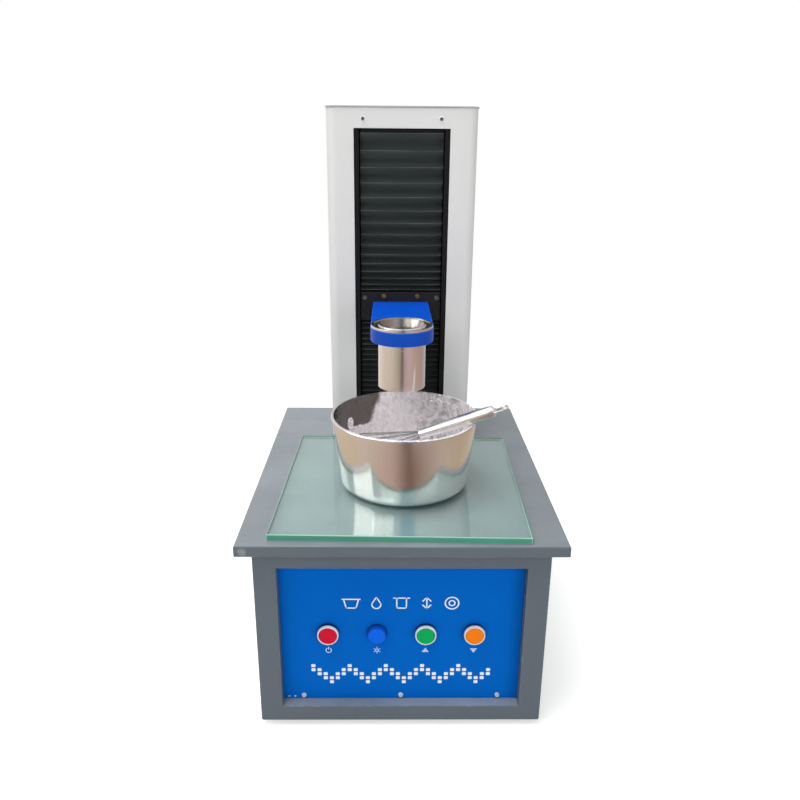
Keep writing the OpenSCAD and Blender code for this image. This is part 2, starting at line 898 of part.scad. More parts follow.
module drive_motor() {
    color("#2b2d31")
        difference() {
            block([-motor_w / 2, y_screw - motor_w / 2, z_motor - motor_h],
                  [motor_w / 2, y_screw + motor_w / 2, z_motor]);
            post(0, y_screw, z_motor - 21, z_motor + 1, motor_shaft_d + 2 * run_fit);
            for (x = [0, 1], y = [0, 1])
                translate([0, y_screw, 0])
                    mirror([x, 0, 0])
                        mirror([0, y, 0])
                            translate([motor_w / 2 - 3, motor_w / 2 - 3, z_motor - motor_h + 10])
                                cube([10, 10, motor_h - 22]);
        }
}

module motor_posts() {
    color("#a7abb0")
        for (x = [-1, 1], y = [-1, 1])
            post(x * post_r, y_screw + y * post_r, z_motor, z_under, 8);
}

module screw_nut() {
    color("#b8924a")
        difference() {
            union() {
                post(0, y_screw, z_carriage - 8, z_carriage + nut_h, nut_d);
                post(0, y_screw, z_carriage - 8, z_carriage, nut_d + 18);
            }
            post(0, y_screw, z_carriage - 9, z_carriage + nut_h + 1, screw_d + 0.2);
        }
}

module linear_bushes() {
    color("#c2c5c9")
        for (x = [-1, 1])
            difference() {
                post(x * rod_pitch / 2, y_screw, z_carriage - 2, z_carriage_top + 2, bush_d);
                post(x * rod_pitch / 2, y_screw, z_carriage - 3, z_carriage_top + 3, rod_d + 2 * run_fit);
            }
}

module lift_carriage() {
    color("#9a9ea3")
        difference() {
            union() {
                block([-carriage_w / 2, y_block, z_carriage],
                      [carriage_w / 2, y_block_back, z_carriage_top]);
                block([-plate_w / 2 + 1, y_neck, z_plate + 2],
                      [plate_w / 2 - 1, y_block + 1, z_plate_top - 2]);
            }
            for (x = [-1, 1])
                post(x * rod_pitch / 2, y_screw, z_carriage - 1, z_carriage_top + 1, bush_d + 2 * seat_fit);
            post(0, y_screw, z_carriage - 1, z_carriage + nut_h + 1, nut_d + 2 * seat_fit);
            post(0, y_screw, z_carriage + nut_h, z_carriage_top + 1, screw_d + 2);
            for (x = [-1, 1]) {
                pin(x * arm_bolt_x, z_arm_mid, y_neck - 1, y_block_back + 1, 8.4);
                pin(x * inner_screw_x, z_inner_screw, y_neck - 1, y_neck + 12, 4 + 2 * run_fit);
                pin(x * outer_screw_x, z_outer_screw, y_neck - 1, y_neck + 12, 4 + 2 * run_fit);
            }
        }
}

module carriage_plate() {
    color("#1d1f22")
        difference() {
            block([-plate_w / 2, y_plate, z_plate], [plate_w / 2, y_neck, z_plate_top]);
            for (x = [-1, 1]) {
                pin(x * arm_bolt_x, z_arm_mid, y_plate - 1, y_neck + 1, 8.4);
                pin(x * inner_screw_x, z_inner_screw, y_plate - 1, y_neck + 1, 4.4);
                pin(x * outer_screw_x, z_outer_screw, y_plate - 1, y_neck + 1, 4.4);
            }
        }
}

module plate_screws() {
    color("#c2a76a")
        for (x = [-1, 1]) {
            translate([x * inner_screw_x, y_plate, z_inner_screw])
                rotate([-90, 0, 0])
                    pan_screw(4, plate_t + 9, 7.4, 2.2);
            translate([x * outer_screw_x, y_plate, z_outer_screw])
                rotate([-90, 0, 0])
                    pan_screw(4, plate_t + 9, 7.4, 2.2);
        }
}

module arm_bolts() {
    color("#55585c")
        for (x = [-1, 1]) {
            pin(x * arm_bolt_x, z_arm_mid, y_plate - arm_bolt_len, y_block_back + 1, 8);
            pin(x * arm_bolt_x, z_arm_mid, y_block_back, y_block_back + 8, 13);
        }
}

module lift_arm() {
    color("#1450c8")
        difference() {
            translate([0, 0, z_arm])
                linear_extrude(arm_t)
                    difference() {
                        union() {
                            translate([0, y_mould])
                                circle(d = arm_w, $fn = 128);
                            translate([-arm_w / 2, y_mould])
                                square([arm_w, y_plate - y_mould]);
                        }
                        translate([0, y_mould])
                            circle(d = mould_bore + 2 * mould_wall + 2 * slip, $fn = 128);
                    }
            for (x = [-1, 1])
                pin(x * arm_bolt_x, z_arm_mid, y_plate - arm_bolt_len - 2, y_plate + 1, 8 + 2 * run_fit);
        }
}

module mould_cylinder() {
    r = mould_bore / 2;
    edge = mould_flange_d / 2;
    front = y_mould - r - mould_wall;
    color("#c4c7ca")
        difference() {
            translate([0, y_mould, z_mould])
                rotate_extrude($fn = 128)
                    polygon([
                        [r, 0.6], [r + 0.6, 0], [r + mould_wall - 0.8, 0], [r + mould_wall, 0.8],
                        [r + mould_wall, mould_h - mould_lip], [edge, mould_h - mould_lip],
                        [edge, mould_h - 0.4], [edge - 0.4, mould_h], [edge - 1.6, mould_h],
                        [edge - 2, mould_h - 0.4], [edge - 2, mould_h - mould_lip + mould_flange_t],
                        [r + mould_wall, mould_h - mould_lip + mould_flange_t],
                        [r + mould_wall, mould_h - 0.6], [r + mould_wall - 0.6, mould_h],
                        [r + mouth_w, mould_h], [r, mould_h - mouth_h]
                    ]);
            pin(0, z_arm - 1.8 * mark_d, front - 1, front + mark_depth, mark_d);
        }
}

module power_supply() {
    color("#b7babd")
        translate([-inner_x + bay_side, bay_front, z_floor])
            difference() {
                cube(supply_size);
                for (i = [0:8])
                    translate([supply_size[0] * (0.126 + 0.088 * i), supply_size[1] * 0.2,
                               supply_size[2] * 0.84])
                        cube([supply_size[0] * 0.032, supply_size[1] * 0.6, supply_size[2]]);
                translate([-1, -1, supply_size[2] * 0.47])
                    cube([supply_size[0] + 2, supply_size[1] * 0.165, supply_size[2]]);
            }
}

module motor_driver() {
    color("#2a2c30")
        translate([inner_x - bay_side - driver_size[0], bay_front, z_floor])
            difference() {
                cube(driver_size);
                for (i = [0:6])
                    translate([driver_size[0] * (0.018 + 0.136 * i), driver_size[1] * 0.135,
                               driver_size[2] * 0.55])
                        cube([driver_size[0] * 0.082, driver_size[1], driver_size[2]]);
            }
}

module relay_board() {
    lift = board_size[0] * 0.1;
    foot = board_size[0] * 0.06;
    color("#1f6b3c")
        translate([-board_size[0] / 2, y_board, z_floor]) {
            for (x = [foot, board_size[0] - foot], y = [foot, board_size[1] - foot])
                post(x, y, 0, lift + 0.5, foot);
            translate([0, 0, lift])
                cube(board_size);
            for (i = [0:3])
                translate([board_size[0] * (0.12 + 0.2 * i), board_size[1] * 0.2, lift + 1])
                    cube([board_size[0] * 0.15, board_size[1] * 0.27, board_size[0] * 0.16]);
            translate([board_size[0] * 0.1, board_size[1] * 0.74, lift + 1])
                cube([board_size[0] * 0.8, board_size[1] * 0.14, board_size[0] * 0.1]);
        }
}

module power_inlet() {
    color("#17181a")
        translate([inlet_x, y_back, inlet_z]) {
            difference() {
                union() {
                    block([-25, 0, -11.5], [25, 2.5, 11.5]);
                    block([-13.6, -22, -10], [13.6, 1, 10]);
                }
                block([-12, -16, -8.2], [12, 4, 8.2]);
                for (x = [-1, 1])
                    pin(x * 20, 0, -1, 4, 3.4);
            }
            for (x = [-7, 7])
                block([x - 1, -17, 1], [x + 1, 0, 5]);
            block([-1, -17, -5.5], [1, 0, -1.5]);
        }
}

// Outline points of one bowl face that lies in from the outside by inset
function bowl_side(inset) =
    let (rc = bowl_corner_r, edge = bowl_base_d / 2 + rc * tan(bowl_slope) - rc)
    concat(
        [[0, inset]],
        [for (i = [0:8])
            let (a = -90 + i / 8 * (90 - bowl_slope))
            [edge + (rc - inset) * cos(a), rc + (rc - inset) * sin(a)]],
        [[edge + (rc - inset) * cos(bowl_slope) + (bowl_h - rc + (rc - inset) * sin(bowl_slope))
          * tan(bowl_slope), bowl_h]]
    );

// The same points from last to first
function reversed(points) = [for (i = [len(points) - 1:-1:0]) points[i]];

module mixing_bowl() {
    outside = bowl_side(0);
    rim_r = outside[len(outside) - 1][0];
    color("#c9cbcd")
        translate([bowl_x, y_bowl, z_glass])
            rotate_extrude($fn = 160) {
                polygon(concat(outside, reversed(bowl_side(bowl_t))));
                translate([rim_r + bowl_bead_r * 0.35, bowl_h - bowl_bead_r])
                    circle(r = bowl_bead_r);
            }
}

// Places its children on the whisk axis, with the tip of the loops at zero
module on_whisk() {
    translate(whisk_tip)
        rotate(whisk_turn)
            children();
}

// Wire loop with a round end that starts at low and runs up to the handle
module wire_loop(low) {
    r = loop_w / 2;
    top = loop_len - 0.25;
    mouth = handle_d * 0.25;
    reach = top - low - r;
    far = norm([mouth, reach]);
    touch = atan2(reach, mouth) - acos(r / far);
    straight = sqrt(far * far - r * r);
    translate([0, 0, low + r])
        rotate([90, 0, 0]) {
            rotate([0, 0, -180 - touch])
                rotate_extrude(angle = 180 + 2 * touch)
                    translate([r, 0])
                        circle(d = wire_d, $fn = 24);
            for (side = [0, 1])
                mirror([side, 0, 0])
                    translate([r * cos(touch), r * sin(touch), 0]) {
                        sphere(d = wire_d + 0.1, $fn = 24);
                        rotate([-90, 0, touch])
                            cylinder(h = straight, d = wire_d, $fn = 24);
                    }
        }
}

module whisk_loops() {
    color("#c4c7ca")
        on_whisk()
            for (i = [0:loop_count - 1])
                rotate([0, 0, 180 / loop_count * i])
                    wire_loop(wire_d / 2 + 1.3 * wire_d * i);
}

module whisk_handle() {
    r = handle_d / 2;
    color("#c4c7ca")
        on_whisk()
            translate([0, 0, loop_len])
                rotate_extrude()
                    polygon([
                        [0, 0], [r * 0.66, 0], [r * 0.74, handle_len * 0.03], [r * 0.8, handle_len * 0.25],
                        [r * 0.94, handle_len * 0.55], [r, handle_len * 0.72], [r, handle_len * 0.93],
                        [r * 0.86, handle_len * 0.985], [r * 0.6, handle_len], [0, handle_len]
                    ]);
}

module whisk_hanger() {
    color("#c4c7ca")
        on_whisk()
            translate([0, 0, loop_len + handle_len])
                rotate([0, 0, 90])
                    rotate([90, 0, 0]) {
                        for (side = [-1, 1])
                            translate([side * hanger_w / 2, 0, 0])
                                rotate([-90, 0, 0])
                                    cylinder(h = hanger_len, d = hanger_d, $fn = 24);
                        translate([0, hanger_len, 0])
                            rotate_extrude(angle = 180)
                                translate([hanger_w / 2, 0])
                                    circle(d = hanger_d, $fn = 24);
                        translate([-hanger_w / 2, hanger_d / 2, 0])
                            rotate([0, 90, 0])
                                cylinder(h = hanger_w, d = hanger_d, $fn = 24);
                    }
}

rubber_feet();
foot_screws();
foot_nuts();
cabinet_shell();
floor_plate();
rear_panel();
rear_screws();
control_panel();
panel_screws();
table_top();
table_nuts();
glass_plate();
button_bezels();
button_nuts();
contact_blocks();
power_button();
up_button();
down_button();
lamp_body();
lamp_lens();
column_cover();
column_back();
column_cap();
cover_screws();
column_foot();
column_head();
column_bolts();
guide_rods();
bellows_rails();
upper_bellows();
lower_bellows();
switch_bar();
limit_switches();
lead_screw();
screw_bearings();
shaft_coupling();
motor_shaft();
drive_motor();
motor_posts();
screw_nut();
linear_bushes();
lift_carriage();
carriage_plate();
plate_screws();
arm_bolts();
lift_arm();
mould_cylinder();
power_supply();
motor_driver();
relay_board();
power_inlet();
mixing_bowl();
whisk_handle();
whisk_loops();
whisk_hanger();
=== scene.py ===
import json
import math
import random

import bpy
from mathutils import Matrix, Vector

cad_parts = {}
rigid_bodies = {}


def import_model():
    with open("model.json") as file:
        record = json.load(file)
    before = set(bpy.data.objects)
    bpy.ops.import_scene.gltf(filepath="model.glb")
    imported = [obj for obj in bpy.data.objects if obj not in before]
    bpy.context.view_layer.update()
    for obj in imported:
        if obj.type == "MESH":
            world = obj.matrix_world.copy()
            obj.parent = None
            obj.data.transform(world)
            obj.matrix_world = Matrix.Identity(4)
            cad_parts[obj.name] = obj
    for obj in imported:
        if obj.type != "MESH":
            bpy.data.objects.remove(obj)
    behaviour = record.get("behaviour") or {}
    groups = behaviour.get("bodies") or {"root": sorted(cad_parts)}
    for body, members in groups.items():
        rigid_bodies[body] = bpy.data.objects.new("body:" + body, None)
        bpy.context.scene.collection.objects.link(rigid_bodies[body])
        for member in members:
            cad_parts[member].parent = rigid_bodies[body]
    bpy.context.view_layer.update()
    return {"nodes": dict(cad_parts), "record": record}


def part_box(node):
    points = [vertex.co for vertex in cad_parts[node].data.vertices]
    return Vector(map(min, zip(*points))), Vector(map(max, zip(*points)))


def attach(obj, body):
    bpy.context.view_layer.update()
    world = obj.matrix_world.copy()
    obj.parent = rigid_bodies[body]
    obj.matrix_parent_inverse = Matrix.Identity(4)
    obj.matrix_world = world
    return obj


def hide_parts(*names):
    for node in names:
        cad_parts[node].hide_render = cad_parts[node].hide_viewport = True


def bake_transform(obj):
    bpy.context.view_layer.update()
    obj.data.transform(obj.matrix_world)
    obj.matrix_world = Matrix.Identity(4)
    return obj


for old in list(bpy.data.objects):
    bpy.data.objects.remove(old)
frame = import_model()
cad = frame["nodes"]
scene = bpy.context.scene
MM = 0.001


# Places and sizes in millimetres, from the CAD frame where it has them

def corners(node):
    """Lowest and highest corner of a CAD node at rest."""
    return tuple(Vector(c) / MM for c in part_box(node))


def middle(node):
    low, high = corners(node)
    return (low + high) / 2


# Centres of round pieces
LENS_MID, BOWL_MID, MOULD_MID = (middle(node) for node in ("lamp_lens", "mixing_bowl", "mould_cylinder"))

# Controls, screws and the worn corner of the table, with shares of the screw head for the painted shade
# in its recess and of the bezel depth for its dark rear band
Y_PANEL = corners("control_panel")[0].y
BUTTON_X = [middle(node).x for node in ("power_button", "lamp_lens", "up_button", "down_button")]
Z_BUTTON = middle("power_button").z
WORN_CORNER = corners("table_top")[0] + Vector((9.5, 0.0, 8.5))
SCREW_HEAD_D = 7.4
SCREW_RECESS = (0.27, 0.38)
PLATE_SCREW_SPLIT = 45.0
REAR_BAND_SHARE, REAR_BAND_FADE = 0.55, 0.3

# Plaster in the bowl: angles in radians from its back, below zero to the left, and depths under the rim
FILM_FROM = (-0.84, -0.35)
FILM_FRONT = (-2.4, -2.1)
POOL_DOWN, POOL_FROM = 45.0, -1.15
LUMP_AT, LUMP_SIZE = (-0.97, 33.0), (0.08, 10.0)

# Bellows: the strip is a little thinner and narrower than its solid, with blunt folds and a slight ripple
BELLOWS_T, BELLOWS_THINNER, BELLOWS_NARROWER, BELLOWS_BACK = 3.5, 1.0, 0.4, 0.3
BELLOWS_ACROSS = 12
FOLD_BLUNT, FOLD_CUT = 0.62, 0.12
RIPPLE_HIGH, RIPPLE_LONG, RIPPLE_YZ = 0.22, 17.0, (0.6, 0.5)
PHASE_END = 6.28

# Glass plate
GLASS_TURN = math.radians(-1.4)
GLASS_OVER_TABLE, GLASS_UNDER_TOP = 0.25, 0.04
GLASS_EDGE = 0.9

# Marks on the panel
INK_HIGH, INK_DEEP = 0.1, 0.05
HEADING_UP, HEADING_PITCH, HEADING_SIZE, HEADING_LINE = 41.5, 30.0, 1.15, 1.35
SIGN_DOWN, SIGN_LINE = 25.4, 1.1
SPOT_X, SPOT_Z, SPOT_SIZE = (6.4, 13.6), 3.3, (1.4, 1.6)
ZIGZAG_DOWN, ZIGZAG_COUNT, ZIGZAG_PITCH, ZIGZAG_RISE = 60.0, 30, (7.4, 6.0), 3
BLOCK_WIDE, BLOCK_HIGH, BLOCK_ROUND = 5.0, 4.4, 1.0

# Floor, lamps and camera, in metres and radians, but the lens and sensor in millimetres
FLOOR_HALF, FLOOR_Z, FLOOR_FADE, FLOOR_GLOW = 9.0, -0.0003, (0.55, 1.5), 0.5
SOFT_LIGHT = 0.36
OVERHEAD = (-0.9, -0.55, 3.5)
TABLE_AIM, MIDDLE_AIM, BACK_AIM = (0.0, -0.05, 0.26), (0.0, 0.0, 0.35), (0.0, 0.1, 0.35)
BOWL_AIM = (0.0, -0.13, 0.27)
CAMERA_PLACE = (-0.0142939, -0.9649919, 0.6863017)
CAMERA_YAW, CAMERA_PITCH, CAMERA_ROLL = 0.0136, 0.3332, 0.0084
CAMERA_LENS, CAMERA_SENSOR, CAMERA_NEAR = 33.697, 36.0, 0.02

# Colours
GREY = (0.122, 0.15, 0.178)
BLUE = (0.0012, 0.092, 0.66)
STEEL = (0.88, 0.865, 0.85)
PLASTER = (0.98, 0.945, 0.96)
WHITE = (1.0, 1.0, 1.0, 1.0)

# Tones of the room that gloss shows
PALE, CREAM, BEIGE = (0.8, 0.79, 0.77), (0.87, 0.79, 0.69), (0.71, 0.59, 0.5)
SAND, OCHRE, TAN = (0.63, 0.55, 0.43), (0.61, 0.48, 0.33), (0.59, 0.47, 0.38)
ROSE, BROWN, EARTH = (0.6, 0.44, 0.42), (0.5, 0.34, 0.29), (0.2, 0.12, 0.09)
GLOOM, SLATE = (0.17, 0.15, 0.14), (0.42, 0.43, 0.45)
LIT, SKY_BLUE = (1.0, 1.0, 1.0), (0.08, 0.3, 0.6)


# Shader helpers

def add(tree, kind, props=None, **inputs):
    """Adds a shader node and sets or links its inputs, named with _ for a space or by place as i0, i1."""
    made = tree.nodes.new("ShaderNode" + kind)
    for key, value in (props or {}).items():
        setattr(made, key, value)
    for key, value in inputs.items():
        socket = made.inputs[int(key[1:])] if key[1:].isdigit() else made.inputs[key.replace("_", " ")]
        if isinstance(value, bpy.types.NodeSocket):
            tree.links.new(value, socket)
        else:
            socket.default_value = value
    return made


def rgba(color):
    return (*color, 1.0) if len(color) == 3 else tuple(color)


def shade(color, factor):
    return tuple(min(1.0, c * factor) for c in color)


def material(name):
    made = bpy.data.materials.new(name)
    made.use_nodes = True
    made.node_tree.nodes.clear()
    return made, made.node_tree


def object_place(tree):
    return add(tree, "TexCoord").outputs["Object"]


def noise(tree, where, scale, detail=4.0, rough=0.55, twist=0.0):
    return add(tree, "TexNoise", Vector=where, Scale=scale, Detail=detail, Roughness=rough,
               Distortion=twist).outputs[0]


def stretch(tree, where, scale):
    return add(tree, "Mapping", Vector=where, Scale=scale).outputs[0]


def span(tree, value, low, high, start=0.3, end=0.7):
    """Goes from low to high while the value goes from start to end, and stays there outside."""
    return add(tree, "MapRange", {"clamp": True}, i0=value, i1=start, i2=end, i3=low, i4=high).outputs[0]


def calc(tree, operation, a, b=0.0):
    return add(tree, "Math", {"operation": operation}, i0=a, i1=b).outputs[0]


def mix(tree, factor, a, b):
    made = add(tree, "Mix", {"data_type": "RGBA"}, i0=factor)
    for place, value in ((6, a), (7, b)):
        if isinstance(value, bpy.types.NodeSocket):
            tree.links.new(value, made.inputs[place])
        else:
            made.inputs[place].default_value = rgba(value)
    return made.outputs[2]


def blended(tree, factor, a, b):
    """As mix, for plain values."""
    first = calc(tree, "MULTIPLY", a, calc(tree, "SUBTRACT", 1.0, factor))
    return calc(tree, "ADD", first, calc(tree, "MULTIPLY", b, factor))


def ramp(tree, factor, stops):
    made = add(tree, "ValToRGB", Fac=factor)
    elements = made.color_ramp.elements
    elements.remove(elements[-1])
    for i, (place, color) in enumerate(stops):
        element = elements[0] if i == 0 else elements.new(place)
        element.position = place
        element.color = rgba(color)
    return made.outputs[0]


def from_axis(tree, where, centre):
    """Distances in x and y from an upright axis, and the height."""
    split = add(tree, "SeparateXYZ", Vector=where)
    return (calc(tree, "SUBTRACT", split.outputs[0], centre[0] * MM),
            calc(tree, "SUBTRACT", split.outputs[1], centre[1] * MM), split.outputs[2])


def around(tree, where, centre, turn_scale, high_scale):
    """Coordinates that wrap round an upright axis, so that streaks run up a round wall."""
    x, y, z = from_axis(tree, where, centre)
    wide = calc(tree, "MULTIPLY", calc(tree, "ARCTAN2", y, x), turn_scale)
    return add(tree, "CombineXYZ", X=wide, Y=calc(tree, "MULTIPLY", z, high_scale)).outputs[0]


def length(tree, x, y):
    """Length of a step with the parts x and y."""
    step = add(tree, "CombineXYZ", X=x, Y=y).outputs[0]
    return add(tree, "VectorMath", {"operation": "LENGTH"}, i0=step).outputs["Value"]


def normal_parts(tree):
    return add(tree, "SeparateXYZ", Vector=add(tree, "NewGeometry").outputs["Normal"]).outputs


def facing_up(tree):
    """One on the faces that look up, and less on slopes."""
    return span(tree, normal_parts(tree)[2], 0.0, 1.0, 0.6, 0.95)


def facing_in(tree, where, centre):
    """One on the faces that look towards an upright axis."""
    x, y, _ = from_axis(tree, where, centre)
    normal = normal_parts(tree)
    along_x = calc(tree, "MULTIPLY", normal[0], x)
    along_y = calc(tree, "MULTIPLY", normal[1], y)
    return span(tree, calc(tree, "ADD", along_x, along_y), 1.0, 0.0, -0.004, 0.0)


def shell(tree, tone, roughness, normal, metal=0.0, specular=0.5, coat=0.0, sheen=0.0):
    shader = add(tree, "BsdfPrincipled", Base_Color=tone, Roughness=roughness, Normal=normal)
    for socket, value in (("Metallic", metal), ("Specular IOR Level", specular), ("Coat Weight", coat),
                          ("Coat Roughness", 0.12), ("Sheen Weight", sheen), ("Sheen Roughness", 0.4)):
        shader.inputs[socket].default_value = value
    add(tree, "OutputMaterial", Surface=shader.outputs[0])
    return shader


def recolor(made, mask, color):
    """Lays a colour over the tone of a finish where the mask is one."""
    tree = made.node_tree
    base = next(n for n in tree.nodes if n.type == "BSDF_PRINCIPLED").inputs["Base Color"]
    tree.links.new(mix(tree, mask, base.links[0].from_socket, color), base)
    return made


# Finishes

def finish(name, color, rough, metal=0.0, mottle=0.06, cloud=14.0, spread=0.06, grain=650.0, bump=0.06,
           streak=None, specular=0.5, coat=0.0, worn=None, fleck=0.25, pale_layer=None):
    """Solid finish with a cloudy tone and a fine grain in colour, roughness and height.

    Rubbed spots get the colour worn, and what faces up gets a paler colour in noisy patches, where these
    are given: painted light on the grey and blue paint, dust and painted light on the table.
    """
    made, tree = material(name)
    where = object_place(tree)
    clouds = noise(tree, where, cloud, 5.0)
    if streak:
        fine = noise(tree, stretch(tree, where, streak), 1.0, 5.0, 0.6)
    else:
        fine = noise(tree, where, grain, 3.0)
    tone = mix(tree, clouds, shade(color, 1.0 - mottle), shade(color, 1.0 + mottle))
    flecks = calc(tree, "MULTIPLY", span(tree, fine, 0.0, 1.0), fleck)
    tone = mix(tree, flecks, tone, shade(color, 0.82))
    if worn:
        rubbed = span(tree, noise(tree, where, 55.0, 6.0, 0.7), 0.0, 1.0, 0.52, 0.66)
        tone = mix(tree, rubbed, tone, worn)
    # Up-facing faces take a paler colour in noisy patches: painted light on the grey and blue paint, dust
    # and painted light on the table.
    if pale_layer:
        lightened = span(tree, noise(tree, where, 6.0, 6.0, 0.65), 0.3, 0.75, 0.3, 0.7)
        tone = mix(tree, calc(tree, "MULTIPLY", facing_up(tree), lightened), tone, pale_layer)
    both = calc(tree, "MULTIPLY", calc(tree, "ADD", clouds, fine), 0.5)
    roughness = span(tree, both, rough - spread, rough + spread, 0.35, 0.65)
    height = add(tree, "Bump", Strength=bump, Distance=0.0004, Height=fine).outputs[0]
    shell(tree, tone, roughness, height, metal, specular, coat)
    return made


def plaster_film(tree, where, centre):
    """Where dried plaster lies in the bowl, and how thick its swirls are.

    It lies right of a slanting edge, in a low pool that reaches further left, and in a lump over that.
    """
    x, y, z = from_axis(tree, where, centre)
    low, high = (corner.z * MM for corner in corners("mixing_bowl"))
    turn = calc(tree, "ARCTAN2", x, y)
    ragged = calc(tree, "ADD", turn, calc(tree, "MULTIPLY", noise(tree, where, 90.0), 0.12))
    edge = span(tree, z, FILM_FROM[0], FILM_FROM[1], low, high)
    right = span(tree, calc(tree, "SUBTRACT", ragged, edge), 0.0, 1.0, 0.02, 0.1)
    front = span(tree, turn, 1.0, 0.0, *FILM_FRONT)
    uneven = calc(tree, "SUBTRACT", z, calc(tree, "MULTIPLY", noise(tree, where, 70.0), 0.012))
    level = high - POOL_DOWN * MM
    pool = calc(tree, "MULTIPLY", span(tree, uneven, 1.0, 0.0, level - MM, level + MM),
                span(tree, ragged, 0.0, 1.0, POOL_FROM, POOL_FROM + 0.06))
    wide = calc(tree, "DIVIDE", calc(tree, "SUBTRACT", turn, LUMP_AT[0]), LUMP_SIZE[0])
    tall = calc(tree, "DIVIDE", calc(tree, "SUBTRACT", z, high - LUMP_AT[1] * MM), LUMP_SIZE[1] * MM)
    rough_edge = calc(tree, "MULTIPLY", noise(tree, where, 160.0), 0.6)
    lump = span(tree, calc(tree, "ADD", length(tree, wide, tall), rough_edge), 1.0, 0.0, 1.1, 1.3)
    covered = right
    for other in (front, pool, lump):
        covered = calc(tree, "MAXIMUM", covered, other)
    swirls = noise(tree, where, 38.0, 5.0, 0.6, 3.5)
    return covered, span(tree, swirls, 0.35, 1.0, 0.4, 0.6)


def round_steel(name, color, rough, centre, streak_scales, inner_rough, inner_wave, inner_shade,
                tilt=0.0, film=False):
    """Polished steel with streaks up a round wall, painted shade on the inside wall, and ripples and
    plaster if asked.

    A tilt lets the outer wall mirror things a little higher, as a wall that bulges would.
    """
    made, tree = material(name)
    where = object_place(tree)
    flat = facing_up(tree)
    up_wall = noise(tree, around(tree, where, centre, *streak_scales), 1.0, 5.0, 0.6)
    streaks = blended(tree, flat, up_wall, noise(tree, where, 160.0, 5.0, 0.6))
    clouds = noise(tree, where, 24.0, 5.0)
    lining = facing_in(tree, where, centre)
    inside = calc(tree, "MAXIMUM", lining, flat)
    tone = mix(tree, clouds, shade(color, 0.95), shade(color, 1.04))
    drawn = calc(tree, "MULTIPLY", span(tree, streaks, 0.0, 1.0), 0.24)
    tone = mix(tree, drawn, tone, shade(color, 0.68))
    # Painted shade: faces toward the axis take a dark steel colour.
    tone = mix(tree, calc(tree, "MULTIPLY", lining, 0.85), tone, inner_shade)
    if film:
        covered, swirls = plaster_film(tree, where, centre)
        covered = calc(tree, "MULTIPLY", covered, inside)
        tone = mix(tree, covered, tone, PLASTER)
        metal = calc(tree, "SUBTRACT", 1.0, calc(tree, "MULTIPLY", covered, swirls))
    smooth = span(tree, streaks, rough - 0.04, rough + 0.05)
    roughness = calc(tree, "ADD", smooth, calc(tree, "MULTIPLY", inside, inner_rough - rough))
    round_wall = noise(tree, around(tree, where, centre, 10.0, 110.0), 1.0, 3.0, 0.5, 1.2)
    ripples = blended(tree, flat, round_wall, noise(tree, where, 70.0, 3.0, 0.5, 1.2))
    raised = calc(tree, "MULTIPLY", calc(tree, "SUBTRACT", 1.0, inside), tilt)
    normal = add(tree, "VectorMath", i0=add(tree, "NewGeometry").outputs["Normal"],
                 i1=add(tree, "CombineXYZ", Z=raised).outputs[0]).outputs[0]
    normal = add(tree, "VectorMath", {"operation": "NORMALIZE"}, i0=normal).outputs[0]
    height = add(tree, "Bump", Strength=0.035, Distance=0.0004, Height=streaks, Normal=normal).outputs[0]
    deep = calc(tree, "MULTIPLY", inside, span(tree, flat, inner_wave, inner_wave * 0.15, 0.0, 1.0))
    height = add(tree, "Bump", Strength=deep, Distance=0.001, Height=ripples, Normal=height).outputs[0]
    shader = shell(tree, tone, roughness, height, 1.0)
    if film:
        tree.links.new(metal, shader.inputs["Metallic"])
    return made


def bellows_cloth(name, color, rough, sheen, lightened=1.0):
    """Coated woven cloth: a fine grid of threads, a little dust, and a tone toward the back knees of the
    folds that paints light there when the last factor is above one.
    """
    made, tree = material(name)
    where = object_place(tree)
    wefts, warps = (add(tree, "TexWave", {"bands_direction": way}, Vector=where, Scale=330.0,
                        Distortion=1.5, Detail=1.0).outputs[1] for way in "XZ")
    threads = calc(tree, "MAXIMUM", wefts, warps)
    drifts = noise(tree, stretch(tree, where, (9.0, 20.0, 30.0)), 1.0, 6.0, 0.65)
    pale_layer = span(tree, drifts, 0.0, 1.0, 0.42, 0.75)
    tone = mix(tree, pale_layer, color, shade(color, 1.7))
    tone = mix(tree, calc(tree, "MULTIPLY", threads, 0.3), tone, shade(color, 0.6))
    # Painted light: toward the back knees the tone goes to the colour scaled by the last factor.
    front, back = (corner.y * MM for corner in corners("upper_bellows"))
    deep = span(tree, add(tree, "SeparateXYZ", Vector=where).outputs[1], 0.0, 1.0, front, back)
    tone = mix(tree, deep, tone, shade(color, lightened))
    height = add(tree, "Bump", Strength=0.18, Distance=0.0003, Height=threads).outputs[0]
    shell(tree, tone, span(tree, pale_layer, rough - 0.05, rough + 0.1, 0.0, 1.0), height, sheen=sheen)
    return made


def table_paint(name, color, pale_layer, chip):
    """The grey coat, paler on top faces with dust and painted light, and the pale worn patch at the left
    front corner of the table.
    """
    made = finish(name, color, 0.36, mottle=0.05, cloud=9, grain=760, bump=0.07, pale_layer=pale_layer)
    tree = made.node_tree
    where = object_place(tree)
    away = add(tree, "VectorMath", {"operation": "DISTANCE"}, i0=where, i1=WORN_CORNER * MM)
    uneven = calc(tree, "MULTIPLY", noise(tree, where, 190.0), 0.006)
    ragged = calc(tree, "ADD", away.outputs["Value"], uneven)
    return recolor(made, span(tree, ragged, 0.45, 0.0, 0.006, 0.0095), chip)


def two_screws(name, brass, grey, split_x):
    """Brass screw heads near the middle and grey ones beyond split_x."""
    made = finish(name, brass, 0.36, 0.8, grain=1500, mottle=0.12)
    tree = made.node_tree
    x = add(tree, "SeparateXYZ", Vector=object_place(tree)).outputs[0]
    start, end = (split_x - 1) * MM, (split_x + 1) * MM
    return recolor(made, span(tree, calc(tree, "ABSOLUTE", x), 0.0, 1.0, start, end), grey)


